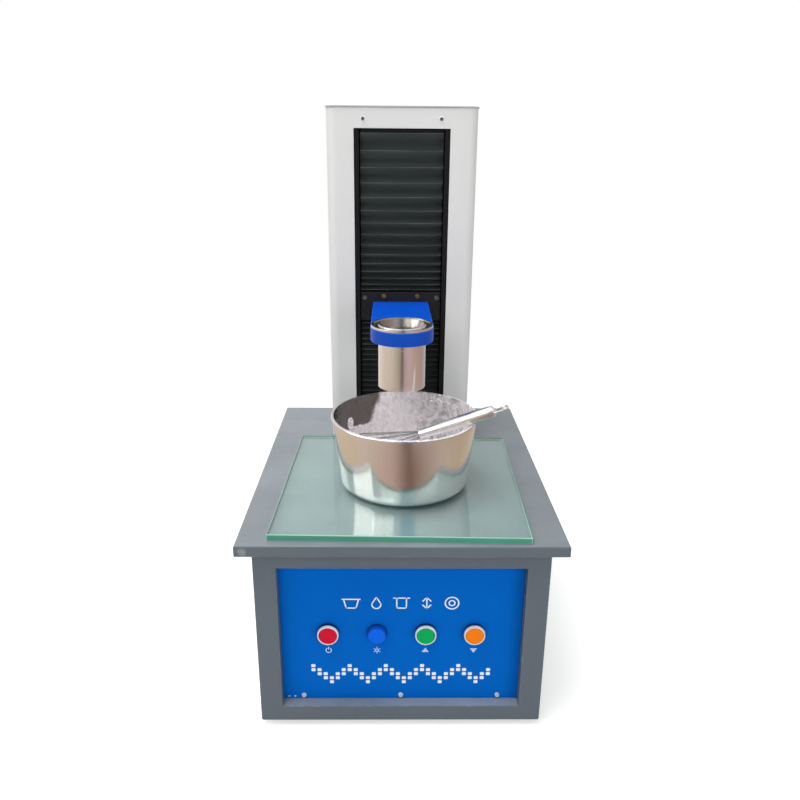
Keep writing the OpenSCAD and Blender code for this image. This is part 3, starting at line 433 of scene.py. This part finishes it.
def cover_screw_look(name, color, recess_shade):
    """Bright screw heads with painted shade, a dark grey, in the recess."""
    made = finish(name, color, 0.3, 0.25, grain=1400, bump=0.03, spread=0.08)
    tree = made.node_tree
    low, high = corners("cover_screws")
    mid, reach = (low + high) / 2, (high - low) / 2
    x, _, z = from_axis(tree, object_place(tree), mid)
    z = calc(tree, "SUBTRACT", z, mid.z * MM)
    off = [calc(tree, "SUBTRACT", calc(tree, "ABSOLUTE", value), (half - SCREW_HEAD_D / 2) * MM)
           for value, half in ((x, reach.x), (z, reach.z))]
    start, end = (SCREW_HEAD_D * share * MM for share in SCREW_RECESS)
    return recolor(made, span(tree, length(tree, *off), 1.0, 0.0, start, end), recess_shade)


def bezel_look(name, color, rear_band):
    """Bright bezels with a dark navy band at their back, next to the panel."""
    made = finish(name, color, 0.3, 0.05, grain=900, bump=0.0, fleck=0.08)
    tree = made.node_tree
    start = Y_PANEL + (corners("button_bezels")[0].y - Y_PANEL) * REAR_BAND_SHARE
    y = add(tree, "SeparateXYZ", Vector=object_place(tree)).outputs[1]
    rear_part = span(tree, y, 0.0, 1.0, (start - REAR_BAND_FADE) * MM, (start + REAR_BAND_FADE) * MM)
    return recolor(made, rear_part, rear_band)


def lens_look(name, color):
    """Clear blue plastic with fine rings moulded into it."""
    made, tree = material(name)
    where = object_place(tree)
    centred = add(tree, "VectorMath", {"operation": "SUBTRACT"}, i0=where, i1=LENS_MID * MM).outputs[0]
    rings = add(tree, "TexWave", {"wave_type": "RINGS", "rings_direction": "Y"}, Vector=centred,
                Scale=260.0, Distortion=0.0).outputs[1]
    tone = mix(tree, rings, shade(color, 0.8), shade(color, 1.1))
    height = add(tree, "Bump", Strength=0.15, Distance=0.0004, Height=rings).outputs[0]
    roughness = span(tree, noise(tree, where, 300.0), 0.16, 0.24)
    shell(tree, tone, roughness, height, specular=0.1, coat=0.04)
    return made


def glass_look(name, tint, rough):
    """Float glass that lets the lamps through, faintly smeared."""
    made, tree = material(name)
    smear = noise(tree, object_place(tree), 24.0, 6.0, 0.65)
    shader = add(tree, "BsdfPrincipled", Roughness=span(tree, smear, rough, rough + 0.05, 0.35, 0.75))
    shader.inputs["Base Color"].default_value = rgba(tint)
    shader.inputs["Transmission Weight"].default_value = 1.0
    shader.inputs["IOR"].default_value = 1.5
    clear = add(tree, "BsdfTransparent", Color=rgba(shade(tint, 0.97)))
    shadow = add(tree, "LightPath").outputs["Is Shadow Ray"]
    both = add(tree, "MixShader", i0=shadow, i1=shader.outputs[0], i2=clear.outputs[0])
    add(tree, "OutputMaterial", Surface=both.outputs[0])
    return made


def button_plastic(name, color):
    return finish(name, color, 0.34, grain=900, bump=0.02, specular=0.08, fleck=0.15)


def ink(name, color):
    return finish(name, color, 0.45, mottle=0.05, cloud=90, grain=1500, bump=0.05, fleck=0.15)


# The finishes by name, most of them for the record's slots
paint = {made.name.partition(".")[0]: made for made in (
    finish("rubber_black", (0.022, 0.022, 0.023), 0.72, grain=900, bump=0.12, mottle=0.15),
    finish("zinc_steel", (0.84, 0.85, 0.86), 0.32, 0.4, grain=1400, bump=0.03, spread=0.08),
    # Painted light: up-facing faces take a pale bluish grey in noisy patches.
    finish("grey_paint", GREY, 0.42, mottle=0.05, cloud=9, grain=760, bump=0.07, specular=0.4,
           pale_layer=(0.44, 0.5, 0.58)),
    finish("grey_edge", shade(GREY, 1.15), 0.42, mottle=0.1, cloud=40, grain=900,
           worn=(0.3, 0.32, 0.34)),
    finish("blue_panel", (0.0008, 0.13, 0.55), 0.5, mottle=0.06, cloud=11, grain=1600, bump=0.03,
           specular=0.02),
    bezel_look("satin_bezel", (0.94, 0.94, 0.95), (0.006, 0.03, 0.11)),
    finish("black_plastic", (0.02, 0.02, 0.022), 0.46, grain=1100, bump=0.12),
    button_plastic("red_plastic", (0.64, 0.008, 0.032)),
    button_plastic("green_plastic", (0.003, 0.4, 0.1)),
    button_plastic("orange_plastic", (0.95, 0.22, 0.006)),
    finish("dark_blue_plastic", (0.002, 0.05, 0.27), 0.36, grain=900, bump=0.03, specular=0.2),
    lens_look("blue_lens", (0.001, 0.14, 0.86)),
    finish("white_paint", (0.72, 0.72, 0.715), 0.44, mottle=0.02, cloud=8, grain=820, bump=0.05,
           fleck=0.08),
    finish("white_edge", (0.77, 0.77, 0.765), 0.42, mottle=0.03, cloud=30, grain=900, fleck=0.1,
           worn=(0.64, 0.64, 0.63)),
    # Painted shade: dark grey on the cap's rounded edges, a shadow line round the cap.
    finish("cap_shadow_line", (0.26, 0.26, 0.26), 0.45, mottle=0.06, cloud=30, grain=900, worn=(0.4, 0.4, 0.4)),
    finish("aluminium", (0.64, 0.65, 0.67), 0.36, 1.0, streak=(1500, 40, 1500), bump=0.06),
    finish("black_steel", (0.045, 0.045, 0.05), 0.42, 0.6, grain=1200),
    finish("ground_steel", (0.6, 0.61, 0.63), 0.2, 1.0, streak=(60, 60, 2400), bump=0.04),
    finish("black_paint", (0.015, 0.015, 0.016), 0.5, grain=900, bump=0.08, mottle=0.15, specular=0.2),
    finish("rail_black", (0.008, 0.008, 0.009), 0.55, grain=900, bump=0.08, mottle=0.2, specular=0.2),
    finish("brass", (0.62, 0.43, 0.16), 0.32, 1.0, grain=1500, mottle=0.12),
    # Dark grey in the screw recess is painted shade.
    cover_screw_look("cover_screw", (0.95, 0.95, 0.95), (0.16, 0.16, 0.16)),
    two_screws("plate_screw", (0.32, 0.21, 0.07), (0.2, 0.2, 0.21), PLATE_SCREW_SPLIT),
    # Painted light and shade: a darker copy of the blue, with a lighter blue on up-facing faces.
    finish("blue_paint", shade(BLUE, 0.72), 0.36, mottle=0.05, cloud=16, grain=700, bump=0.05,
           specular=0.18, pale_layer=(0.0016, 0.12, 0.86)),
    finish("blue_edge", shade(BLUE, 1.25), 0.36, mottle=0.08, cloud=60, grain=900, specular=0.3,
           worn=(0.05, 0.18, 0.62)),
    # Lit and shaded copies of one stainless steel: a brighter copy for the handle and hanger (painted
    # light) and a darker copy for the loops (painted shade).
    finish("whisk_steel_painted_light", shade(STEEL, 1.12), 0.26, 1.0, mottle=0.03, grain=1300, bump=0.03),
    finish("loop_steel_painted_shade", (0.38, 0.37, 0.38), 0.24, 1.0, mottle=0.05, grain=1300, bump=0.03),
    # The dark inner colours of the bowl and the mould are painted shade on their inside walls.
    round_steel("bowl_steel", (0.9, 0.885, 0.87), 0.12, BOWL_MID, (90.0, 26.0), inner_rough=0.1,
                inner_wave=1.0, inner_shade=(0.05, 0.038, 0.03), tilt=0.13, film=True),
    round_steel("mould_steel", STEEL, 0.17, MOULD_MID, (34.0, 60.0), inner_rough=0.24, inner_wave=0.0,
                inner_shade=shade(STEEL, 0.42)),
    finish("board_green", (0.015, 0.2, 0.06), 0.4, cloud=60, grain=400, mottle=0.2),
    # The table's paler colour on top faces is dust and painted light.
    table_paint("table_paint", GREY, (0.37, 0.405, 0.435), (0.36, 0.42, 0.4)),
    # Bellows cloth, with a darker copy for fold tops (painted shade, with painted light toward the back
    # knees) and a lighter copy for fold edges (painted highlight).
    bellows_cloth("bellows_rubber", (0.046, 0.057, 0.056), 0.55, 0.05),
    bellows_cloth("bellows_top_shade_and_light", (0.013, 0.0165, 0.016), 0.6, 0.03, 4.0),
    bellows_cloth("bellows_edge_highlight", (0.07, 0.08, 0.078), 0.5, 0.1),
    glass_look("glass", (0.77, 0.87, 0.835), 0.015),
    finish("glass_edge", (0.07, 0.33, 0.22), 0.22, mottle=0.25, cloud=20, grain=300, bump=0.05, coat=0.3),
    finish("glass_rim", (0.36, 0.62, 0.52), 0.25, mottle=0.15, cloud=30, grain=300, bump=0.05),
    ink("print_white", (0.86, 0.9, 0.94)),
    ink("print_pale", (0.5, 0.68, 0.9)),
)}


# CAD nodes: softened edges and their finishes

SMOOTH_UP_TO = 0.5
MERGE_WITHIN = 1e-6
FLAT_WITHIN = 0.004
BEVEL_FROM = 0.6


def soften_group():
    """Joins the split corners of an imported mesh and shades it smooth up to a fold of half a radian."""
    tree = bpy.data.node_groups.new("soften", "GeometryNodeTree")
    tree.interface.new_socket("Geometry", in_out="INPUT", socket_type="NodeSocketGeometry")
    tree.interface.new_socket("Geometry", in_out="OUTPUT", socket_type="NodeSocketGeometry")
    steps = [tree.nodes.new(kind) for kind in (
        "NodeGroupInput", "GeometryNodeRemoveAttribute", "GeometryNodeMergeByDistance",
        "GeometryNodeSetShadeSmooth", "GeometryNodeSetShadeSmooth", "NodeGroupOutput")]
    for a, b in zip(steps, steps[1:]):
        tree.links.new(a.outputs[0], b.inputs[0])
    _, forget, merge, smooth, crease, _ = steps
    forget.inputs["Name"].default_value = "custom_normal"
    merge.inputs["Distance"].default_value = MERGE_WITHIN
    smooth.domain = "FACE"
    crease.domain = "EDGE"
    crease.inputs["Shade Smooth"].default_value = False
    angle = tree.nodes.new("GeometryNodeInputMeshEdgeAngle")
    sharp = tree.nodes.new("FunctionNodeCompare")
    sharp.operation = "GREATER_THAN"
    sharp.inputs[1].default_value = SMOOTH_UP_TO
    tree.links.new(angle.outputs[0], sharp.inputs[0])
    tree.links.new(sharp.outputs[0], crease.inputs["Selection"])
    return tree


soft_edges = soften_group()


def soften(piece, width, edge_slot):
    """Shades a CAD node smooth and, where a width is given, rounds its edges, in a slot of their own."""
    weld = piece.modifiers.new("weld", "NODES")
    weld.node_group = soft_edges
    if not width:
        return
    flat = piece.modifiers.new("flat", "DECIMATE")
    flat.decimate_type = "DISSOLVE"
    flat.angle_limit = FLAT_WITHIN
    edge = piece.modifiers.new("edge", "BEVEL")
    edge.width = width
    edge.segments = 2
    edge.limit_method = "ANGLE"
    edge.angle_limit = BEVEL_FROM
    edge.use_clamp_overlap = False
    edge.harden_normals = True
    if edge_slot is not None:
        edge.material = edge_slot


# Width of the softened edges in metres with the finish on them, and finishes other than the record's slot
EDGE_ELSE = (0.0004, None)
# The column cap's edge finish is dark grey painted shade.
EDGE = {
    "cabinet_shell": (0.0006, "grey_edge"), "table_top": (0.0007, "grey_edge"),
    "rear_panel": (0.0004, "grey_edge"), "column_cover": (0.0005, "white_edge"),
    "column_cap": (0.0008, "cap_shadow_line"), "column_back": (0.0004, "white_edge"),
    "lift_arm": (0.0009, "blue_edge"), "carriage_plate": (0.0005, None),
    "control_panel": (0.0003, None), "button_bezels": (0.0005, None), "power_button": (0.0005, None),
    "up_button": (0.0005, None), "down_button": (0.0005, None), "lamp_body": (0.0005, None),
    "mould_cylinder": (0.0003, None), "panel_screws": (0.0002, None), "cover_screws": (0.0002, None),
    "plate_screws": (0.0002, None), "rear_screws": (0.0002, None), "rubber_feet": (0.0008, None),
    "power_inlet": (0.0003, None), "lead_screw": (0.0, None), "lamp_lens": (0.0, None),
    "mixing_bowl": (0.0, None), "whisk_handle": (0.0, None), "whisk_loops": (0.0, None),
    "whisk_hanger": (0.0, None),
}
SPECIAL = {
    "mixing_bowl": "bowl_steel", "mould_cylinder": "mould_steel", "whisk_handle": "whisk_steel_painted_light",
    "whisk_loops": "loop_steel_painted_shade", "whisk_hanger": "whisk_steel_painted_light", "table_top": "table_paint",
    "plate_screws": "plate_screw", "cover_screws": "cover_screw", "bellows_rails": "rail_black",
}
for row in frame["record"]["subparts"]:
    name = row["node"]
    piece = cad[name]
    look = paint[SPECIAL.get(name, row["material_slot"])]
    for slot in piece.material_slots:
        slot.material = look
    width, worn = EDGE.get(name, EDGE_ELSE)
    if worn:
        piece.data.materials.append(paint[worn])
    soften(piece, width, 1 if worn else None)


# New pieces

def mesh_piece(name, points, faces, looks, slots=None):
    mesh = bpy.data.meshes.new(name)
    mesh.from_pydata([tuple(p) for p in points], [], faces)
    for look in looks:
        mesh.materials.append(look)
    if slots is not None:
        mesh.polygons.foreach_set("material_index", slots)
    mesh.validate()
    mesh.update()
    made = bpy.data.objects.new(name, mesh)
    scene.collection.objects.link(made)
    return made


UNDER, EDGE_ON, TOP = range(3)


def pleat_line(low, high, folds, share, depth):
    """Line of a pleated strip in (y, z) with blunt fold edges, and for each step its kind.

    A step is an underside, an edge or a top. A share below one sets the folds closer at the low end.
    """
    count = 2 * folds
    knees = []
    for i in range(count + 1):
        u = i / count
        z = low + (high - low) * u * (share + (1 - share) * u)
        knees.append((depth if i % 2 == 0 else 0.0, z))
    line, kinds = [], []
    for i, (y, z) in enumerate(knees):
        front = i % 2 == 1
        leg = UNDER if front else TOP
        if i in (0, count):
            line.append((y, z))
            kinds.append(leg)
            continue
        ends = []
        for other_y, other_z in (knees[i - 1], knees[i + 1]):
            step = FOLD_BLUNT / math.hypot(other_y - y, other_z - z)
            ends.append((y + (other_y - y) * step, z + (other_z - z) * step))
        line += [ends[0], (y + (FOLD_CUT if front else -FOLD_CUT), z), ends[1]]
        kinds += [leg, EDGE_ON if front else TOP, EDGE_ON if front else UNDER]
    return line, kinds


def bellows(name, node, folds, share, seed):
    """Pleated strip with thickness in the place of a bellows node, which it hides."""
    low, high = corners(node)
    wide, thick = high.x - low.x - BELLOWS_NARROWER, BELLOWS_T - BELLOWS_THINNER
    line, kinds = pleat_line(low.z, high.z, folds, share, high.y - low.y - BELLOWS_T)
    rows, across, step = len(line), BELLOWS_ACROSS, BELLOWS_ACROSS + 1
    rng = random.Random(seed)
    phase = [rng.uniform(0.0, PHASE_END) for _ in range(rows)]
    points, faces, slots = [], [], []
    for back in (0.0, thick):
        for j, (y, z) in enumerate(line):
            wave = 0.0 if j in (0, rows - 1) else RIPPLE_HIGH
            for i in range(step):
                x = (i / across - 0.5) * wide
                ripple = wave * math.sin(x / RIPPLE_LONG + phase[j // 3])
                at_y = low.y + BELLOWS_BACK + y + ripple * RIPPLE_YZ[0] + back
                points.append(Vector((x, at_y, z + ripple * RIPPLE_YZ[1])) * MM)
    half = rows * step
    for j in range(rows - 1):
        for i in range(across):
            a = j * step + i
            b = a + step
            faces += [(a, a + 1, b + 1, b), (half + a, half + b, half + b + 1, half + a + 1)]
            slots += [kinds[j + 1], UNDER]
        a = j * step
        faces.append((a, a + step, half + a + step, half + a))
        a += across
        faces.append((a, half + a, half + a + step, a + step))
        slots += [UNDER, UNDER]
    for i in range(across):
        a = (rows - 1) * step + i
        faces += [(i, half + i, half + i + 1, i + 1), (a, a + 1, half + a + 1, half + a)]
        slots += [UNDER, UNDER]
    # Slots by step: undersides take the plain cloth, fold edges a lighter copy as painted highlight, and
    # tops a darker copy as painted shade with painted light toward the back knees.
    looks = [paint["bellows_rubber"], paint["bellows_edge_highlight"], paint["bellows_top_shade_and_light"]]
    made = mesh_piece(name, points, faces, looks, slots)
    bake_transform(made)
    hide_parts(node)


bellows("bellows_above", "upper_bellows", 15, 0.42, 3)
bellows("bellows_below", "lower_bellows", 21, 1.0, 5)


def glass_sheet():
    """Glass plate with ground edges, a hair above the table so that the two faces don't share a plane."""
    low, high = corners("glass_plate")
    mid = (low + high) / 2
    half = (high.x - low.x) / 2 / (math.cos(GLASS_TURN) + math.sin(abs(GLASS_TURN)))
    turn = Matrix.Rotation(GLASS_TURN, 2)
    points = []
    for z in (low.z + GLASS_OVER_TABLE, high.z - GLASS_UNDER_TOP):
        for x, y in ((-half, -half), (half, -half), (half, half), (-half, half)):
            at = turn @ Vector((x, y)) + mid.xy
            points.append(Vector((at.x, at.y, z)) * MM)
    faces = [(3, 2, 1, 0), (4, 5, 6, 7)]
    faces += [(i, (i + 1) % 4, (i + 1) % 4 + 4, i + 4) for i in range(4)]
    looks = [paint["glass"], paint["glass_edge"], paint["glass_rim"]]
    made = mesh_piece("glass_sheet", points, faces, looks, [0, 0, 1, 1, 1, 1])
    edge = made.modifiers.new("edge", "BEVEL")
    edge.width = GLASS_EDGE * MM
    edge.segments = 2
    edge.material = 2
    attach(made, "glass")
    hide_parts("glass_plate")


glass_sheet()


# Printed marks on the control panel, drawn in (x, z)

def rounded(w, h, r, steps=4):
    """Rectangle with round corners."""
    line = []
    for cx, cz, start in ((w / 2 - r, h / 2 - r, 0), (r - w / 2, h / 2 - r, 90),
                          (r - w / 2, r - h / 2, 180), (w / 2 - r, r - h / 2, 270)):
        for i in range(steps + 1):
            a = math.radians(start + 90 * i / steps)
            line.append((cx + r * math.cos(a), cz + r * math.sin(a)))
    return [line]


def band(r, w, start=0.0, end=360.0, steps=28, z=0.0):
    """Part of a ring, of radius r at its middle and width w."""
    parts = []
    for i in range(steps):
        a, b = (math.radians(start + (end - start) * k / steps) for k in (i, i + 1))
        parts.append([(q * math.cos(t), z + q * math.sin(t))
                      for q, t in ((r - w / 2, a), (r + w / 2, a), (r + w / 2, b), (r - w / 2, b))])
    return parts


def stroke(points, w):
    """Straight bars of width w from point to point."""
    parts = []
    for (x0, z0), (x1, z1) in zip(points, points[1:]):
        long = math.hypot(x1 - x0, z1 - z0)
        ux, uz = (x1 - x0) / long * w / 2, (z1 - z0) / long * w / 2
        parts.append([(x0 - ux + uz, z0 - uz - ux), (x1 + ux + uz, z1 + uz - ux),
                      (x1 + ux - uz, z1 + uz + ux), (x0 - ux - uz, z0 - uz + ux)])
    return parts


def placed(shapes, x, z, size=1.0):
    return [[(x + size * px, z + size * pz) for px, pz in shape] for shape in shapes]


def printed(name, shapes, look):
    """Ink as thin raised shapes on the front of the panel."""
    points, faces = [], []
    for shape in shapes:
        area = sum(a[0] * b[1] - b[0] * a[1] for a, b in zip(shape, shape[1:] + shape[:1]))
        if area < 0:
            shape = shape[::-1]
        base, n = len(points), len(shape)
        for y in (Y_PANEL - INK_HIGH, Y_PANEL + INK_DEEP):
            points += [(x * MM, y * MM, z * MM) for x, z in shape]
        faces.append(tuple(range(base, base + n)))
        faces.append(tuple(range(base + 2 * n - 1, base + n - 1, -1)))
        for i in range(n):
            k = (i + 1) % n
            faces.append((base + i, base + n + i, base + n + k, base + k))
    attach(mesh_piece(name, points, faces, [look]), "stand")


def heading_marks():
    """Five plain pictograms of a test: bowl, drop, mould, lift and spread."""
    w = HEADING_LINE
    bowl = stroke([(-7.5, 3.5), (-5, -6), (5, -6), (7.5, 3.5)], w) + stroke([(-9, 4.5), (9, 4.5)], w)
    drop = band(4.6, w, 150, 390, 20, -2) + stroke([(-3.9, 0.4), (0, 7), (3.9, 0.4)], w)
    mould = stroke([(-8, 6), (8, 6)], w) + stroke([(-5, 6), (-5, -6), (5, -6), (5, 6)], w)
    lift = stroke([(0, -6.5), (0, 6.5)], w)
    lift += stroke([(-4, 2.5), (0, 6.8), (4, 2.5)], w) + stroke([(-4, -2.5), (0, -6.8), (4, -2.5)], w)
    spread = band(3.0, w) + band(7.0, w)
    shapes = []
    for i, mark in enumerate((bowl, drop, mould, lift, spread)):
        shapes += placed(mark, (i - 2) * HEADING_PITCH, Z_BUTTON + HEADING_UP, HEADING_SIZE)
    return shapes


def button_marks():
    """Power, lamp, up and down signs under the controls."""
    w = SIGN_LINE
    power = band(3.3, w, -240, 60, 22) + stroke([(0, 1.2), (0, 4.4)], w)
    light = band(1.9, w, 0, 360, 20)
    for turn in range(30, 390, 60):
        a = math.radians(turn)
        light += stroke([(r * math.cos(a), r * math.sin(a)) for r in (3.4, 4.4)], w * 0.8)
    up = [[(-4.4, -2.6), (4.4, -2.6), (0, 3.6)]]
    down = [[(-4.4, 2.6), (4.4, 2.6), (0, -3.6)]]
    shapes = []
    for x, mark in zip(BUTTON_X, (power, light, up, down)):
        shapes += placed(mark, x, Z_BUTTON - SIGN_DOWN)
    return shapes


def zigzag_blocks():
    """Small blocks in a zigzag band two high."""
    block = rounded(BLOCK_WIDE, BLOCK_HIGH, BLOCK_ROUND)
    shapes = []
    for i in range(ZIGZAG_COUNT):
        x = (i - (ZIGZAG_COUNT - 1) / 2) * ZIGZAG_PITCH[0]
        for k in (-1, 0):
            row = abs(i % (2 * ZIGZAG_RISE) - ZIGZAG_RISE) + k - 1
            shapes += placed(block, x, Z_BUTTON - ZIGZAG_DOWN + row * ZIGZAG_PITCH[1])
    return shapes


def panel_spots():
    """Two small pale spots low on the left of the panel."""
    low = corners("control_panel")[0]
    ragged = [(-0.9, -0.5), (0.1, -0.8), (0.9, -0.3), (0.7, 0.5), (-0.1, 0.8), (-0.8, 0.4)]
    shapes = []
    for line, x, size in zip((ragged, ragged[::-1]), SPOT_X, SPOT_SIZE):
        shapes += placed([line], low.x + x, low.z + SPOT_Z, size)
    return shapes


printed("panel_heading", heading_marks(), paint["print_white"])
printed("panel_signs", button_marks(), paint["print_pale"])
printed("panel_blocks", zigzag_blocks(), paint["print_white"])
printed("panel_spots", panel_spots(), paint["print_pale"])


# Floor, light and camera

def floor():
    """Pale floor that keeps the shadow near the object and is plain white to the camera further out."""
    signs = ((-1, -1), (1, -1), (1, 1), (-1, 1))
    points = [(x * FLOOR_HALF, y * FLOOR_HALF, FLOOR_Z) for x, y in signs]
    made = mesh_piece("floor", points, [(0, 1, 2, 3)], [])
    look, tree = material("floor")
    where = object_place(tree)
    away = add(tree, "VectorMath", {"operation": "LENGTH"}, i0=where).outputs["Value"]
    far = span(tree, away, 0.0, 1.0, *FLOOR_FADE)
    grain = mix(tree, noise(tree, where, 30.0), (0.86, 0.86, 0.86), (0.9, 0.9, 0.9))
    matt = add(tree, "BsdfDiffuse", Color=grain)
    glow = add(tree, "Emission", Color=WHITE, Strength=FLOOR_GLOW)
    near = add(tree, "AddShader", i0=matt.outputs[0], i1=glow.outputs[0])
    white = add(tree, "Emission", Color=WHITE, Strength=1.0)
    seen = add(tree, "MixShader", i0=far, i1=near.outputs[0], i2=white.outputs[0])
    camera_ray = add(tree, "LightPath").outputs["Is Camera Ray"]
    shown = add(tree, "MixShader", i0=camera_ray, i1=matt.outputs[0], i2=seen.outputs[0])
    add(tree, "OutputMaterial", Surface=shown.outputs[0])
    made.data.materials.append(look)
    made.visible_glossy = False


floor()


def surroundings():
    """White to the camera, an even soft light on matt surfaces, and a warm room in what gloss shows.

    The room's tones are set by degrees from the front, for its ground, its walls and what is above.
    """
    world = bpy.data.worlds.new("studio")
    scene.world = world
    world.use_nodes = True
    tree = world.node_tree
    tree.nodes.clear()
    split = add(tree, "SeparateXYZ", Vector=add(tree, "TexCoord").outputs["Generated"])
    turn = calc(tree, "ARCTAN2", split.outputs[0], calc(tree, "MULTIPLY", split.outputs[1], -1.0))
    share = calc(tree, "ADD", calc(tree, "DIVIDE", turn, 2 * math.pi), 0.5)

    def room(*stops):
        return ramp(tree, share, [(degrees / 360.0 + 0.5, color) for degrees, color in stops])

    walls = room((-180, PALE), (-145, CREAM), (-90, BEIGE), (-45, SAND), (-8, shade(SAND, 0.57)),
                 (-4, GLOOM), (6, GLOOM), (13, shade(ROSE, 0.9)), (37, ROSE), (58, BROWN),
                 (112, shade(BROWN, 0.85)), (140, SLATE), (180, shade(PALE, 0.9)))
    ground = room((-180, shade(CREAM, 0.7)), (-100, OCHRE), (-70, TAN), (-21, BROWN), (6, EARTH),
                  (12, EARTH), (60, shade(TAN, 0.85)), (100, shade(OCHRE, 0.8)), (180, shade(CREAM, 0.7)))
    sky = room((-180, shade(LIT, 0.8)), (-150, LIT), (-10, LIT), (-3, SKY_BLUE), (15, SKY_BLUE),
               (22, LIT), (110, LIT), (150, SLATE), (180, shade(LIT, 0.6)))
    low = span(tree, split.outputs[2], 1.0, 0.0, -0.345, -0.32)
    up = span(tree, split.outputs[2], 0.0, 1.0, 0.3, 0.5)
    gloss = mix(tree, up, mix(tree, low, walls, ground), sky)
    glossy = add(tree, "Background", Color=gloss, Strength=1.0)
    soft = add(tree, "Background", Color=(1.0, 1.0, 0.99, 1.0), Strength=SOFT_LIGHT)
    white = add(tree, "Background", Color=WHITE, Strength=1.0)
    path = add(tree, "LightPath")
    by_gloss = path.outputs["Is Glossy Ray"]
    lit = add(tree, "MixShader", i0=by_gloss, i1=soft.outputs[0], i2=glossy.outputs[0])
    seen = calc(tree, "MAXIMUM", path.outputs["Is Camera Ray"], path.outputs["Is Transmission Ray"])
    shown = add(tree, "MixShader", i0=seen, i1=lit.outputs[0], i2=white.outputs[0])
    add(tree, "OutputWorld", Surface=shown.outputs[0])


surroundings()


def lamp(name, place, target, size, power, glossy=False):
    """Square soft lamp aimed at a point; gloss shows it only if asked."""
    data = bpy.data.lights.new(name, "AREA")
    data.shape = "RECTANGLE"
    data.size = size
    data.size_y = size
    data.energy = power
    made = bpy.data.objects.new(name, data)
    made.location = place
    made.rotation_euler = (Vector(target) - Vector(place)).to_track_quat("-Z", "Y").to_euler()
    made.visible_glossy = glossy
    scene.collection.objects.link(made)
    return made


def window(name, place, wide, tall, power):
    """Bright pane aimed at the bowl that only steel, glass and other gloss show."""
    made = lamp(name, place, BOWL_AIM, wide, power, glossy=True)
    made.visible_diffuse = False
    made.data.size_y = tall
    made.data.color = (1.0, 0.96, 0.92)


lamp("overhead", OVERHEAD, TABLE_AIM, size=2.0, power=62.0)
lamp("overhead_gloss", OVERHEAD, TABLE_AIM, size=2.2, power=30.0, glossy=True)
lamp("key", (-1.2, -2.7, 1.8), MIDDLE_AIM, size=1.7, power=17.5)
lamp("fill", (2.0, -2.4, 0.62), MIDDLE_AIM, size=1.7, power=25.0)
lamp("back", (-2.6, 2.3, 1.5), BACK_AIM, size=1.8, power=30.0)
window("window_left", (-1.45, -0.45, 0.9), wide=1.1, tall=1.1, power=9.5)
window("window_front", (-0.815, -1.15, 1.03), wide=0.94, tall=0.19, power=1.15)


def camera():
    data = bpy.data.cameras.new("camera")
    data.sensor_width = CAMERA_SENSOR
    data.lens = CAMERA_LENS
    data.clip_start = CAMERA_NEAR
    made = bpy.data.objects.new("camera", data)
    scene.collection.objects.link(made)
    yaw, pitch, roll = CAMERA_YAW, CAMERA_PITCH, CAMERA_ROLL
    level = Vector((math.cos(yaw), -math.sin(yaw), 0.0))
    ahead = Vector((math.sin(yaw) * math.cos(pitch), math.cos(yaw) * math.cos(pitch), -math.sin(pitch)))
    right = math.cos(roll) * level + math.sin(roll) * level.cross(ahead)
    up = right.cross(ahead)
    turn = Matrix((right, up, -ahead)).transposed().to_4x4()
    made.matrix_world = Matrix.Translation(CAMERA_PLACE) @ turn
    scene.camera = made


camera()
scene.view_settings.view_transform = "Standard"
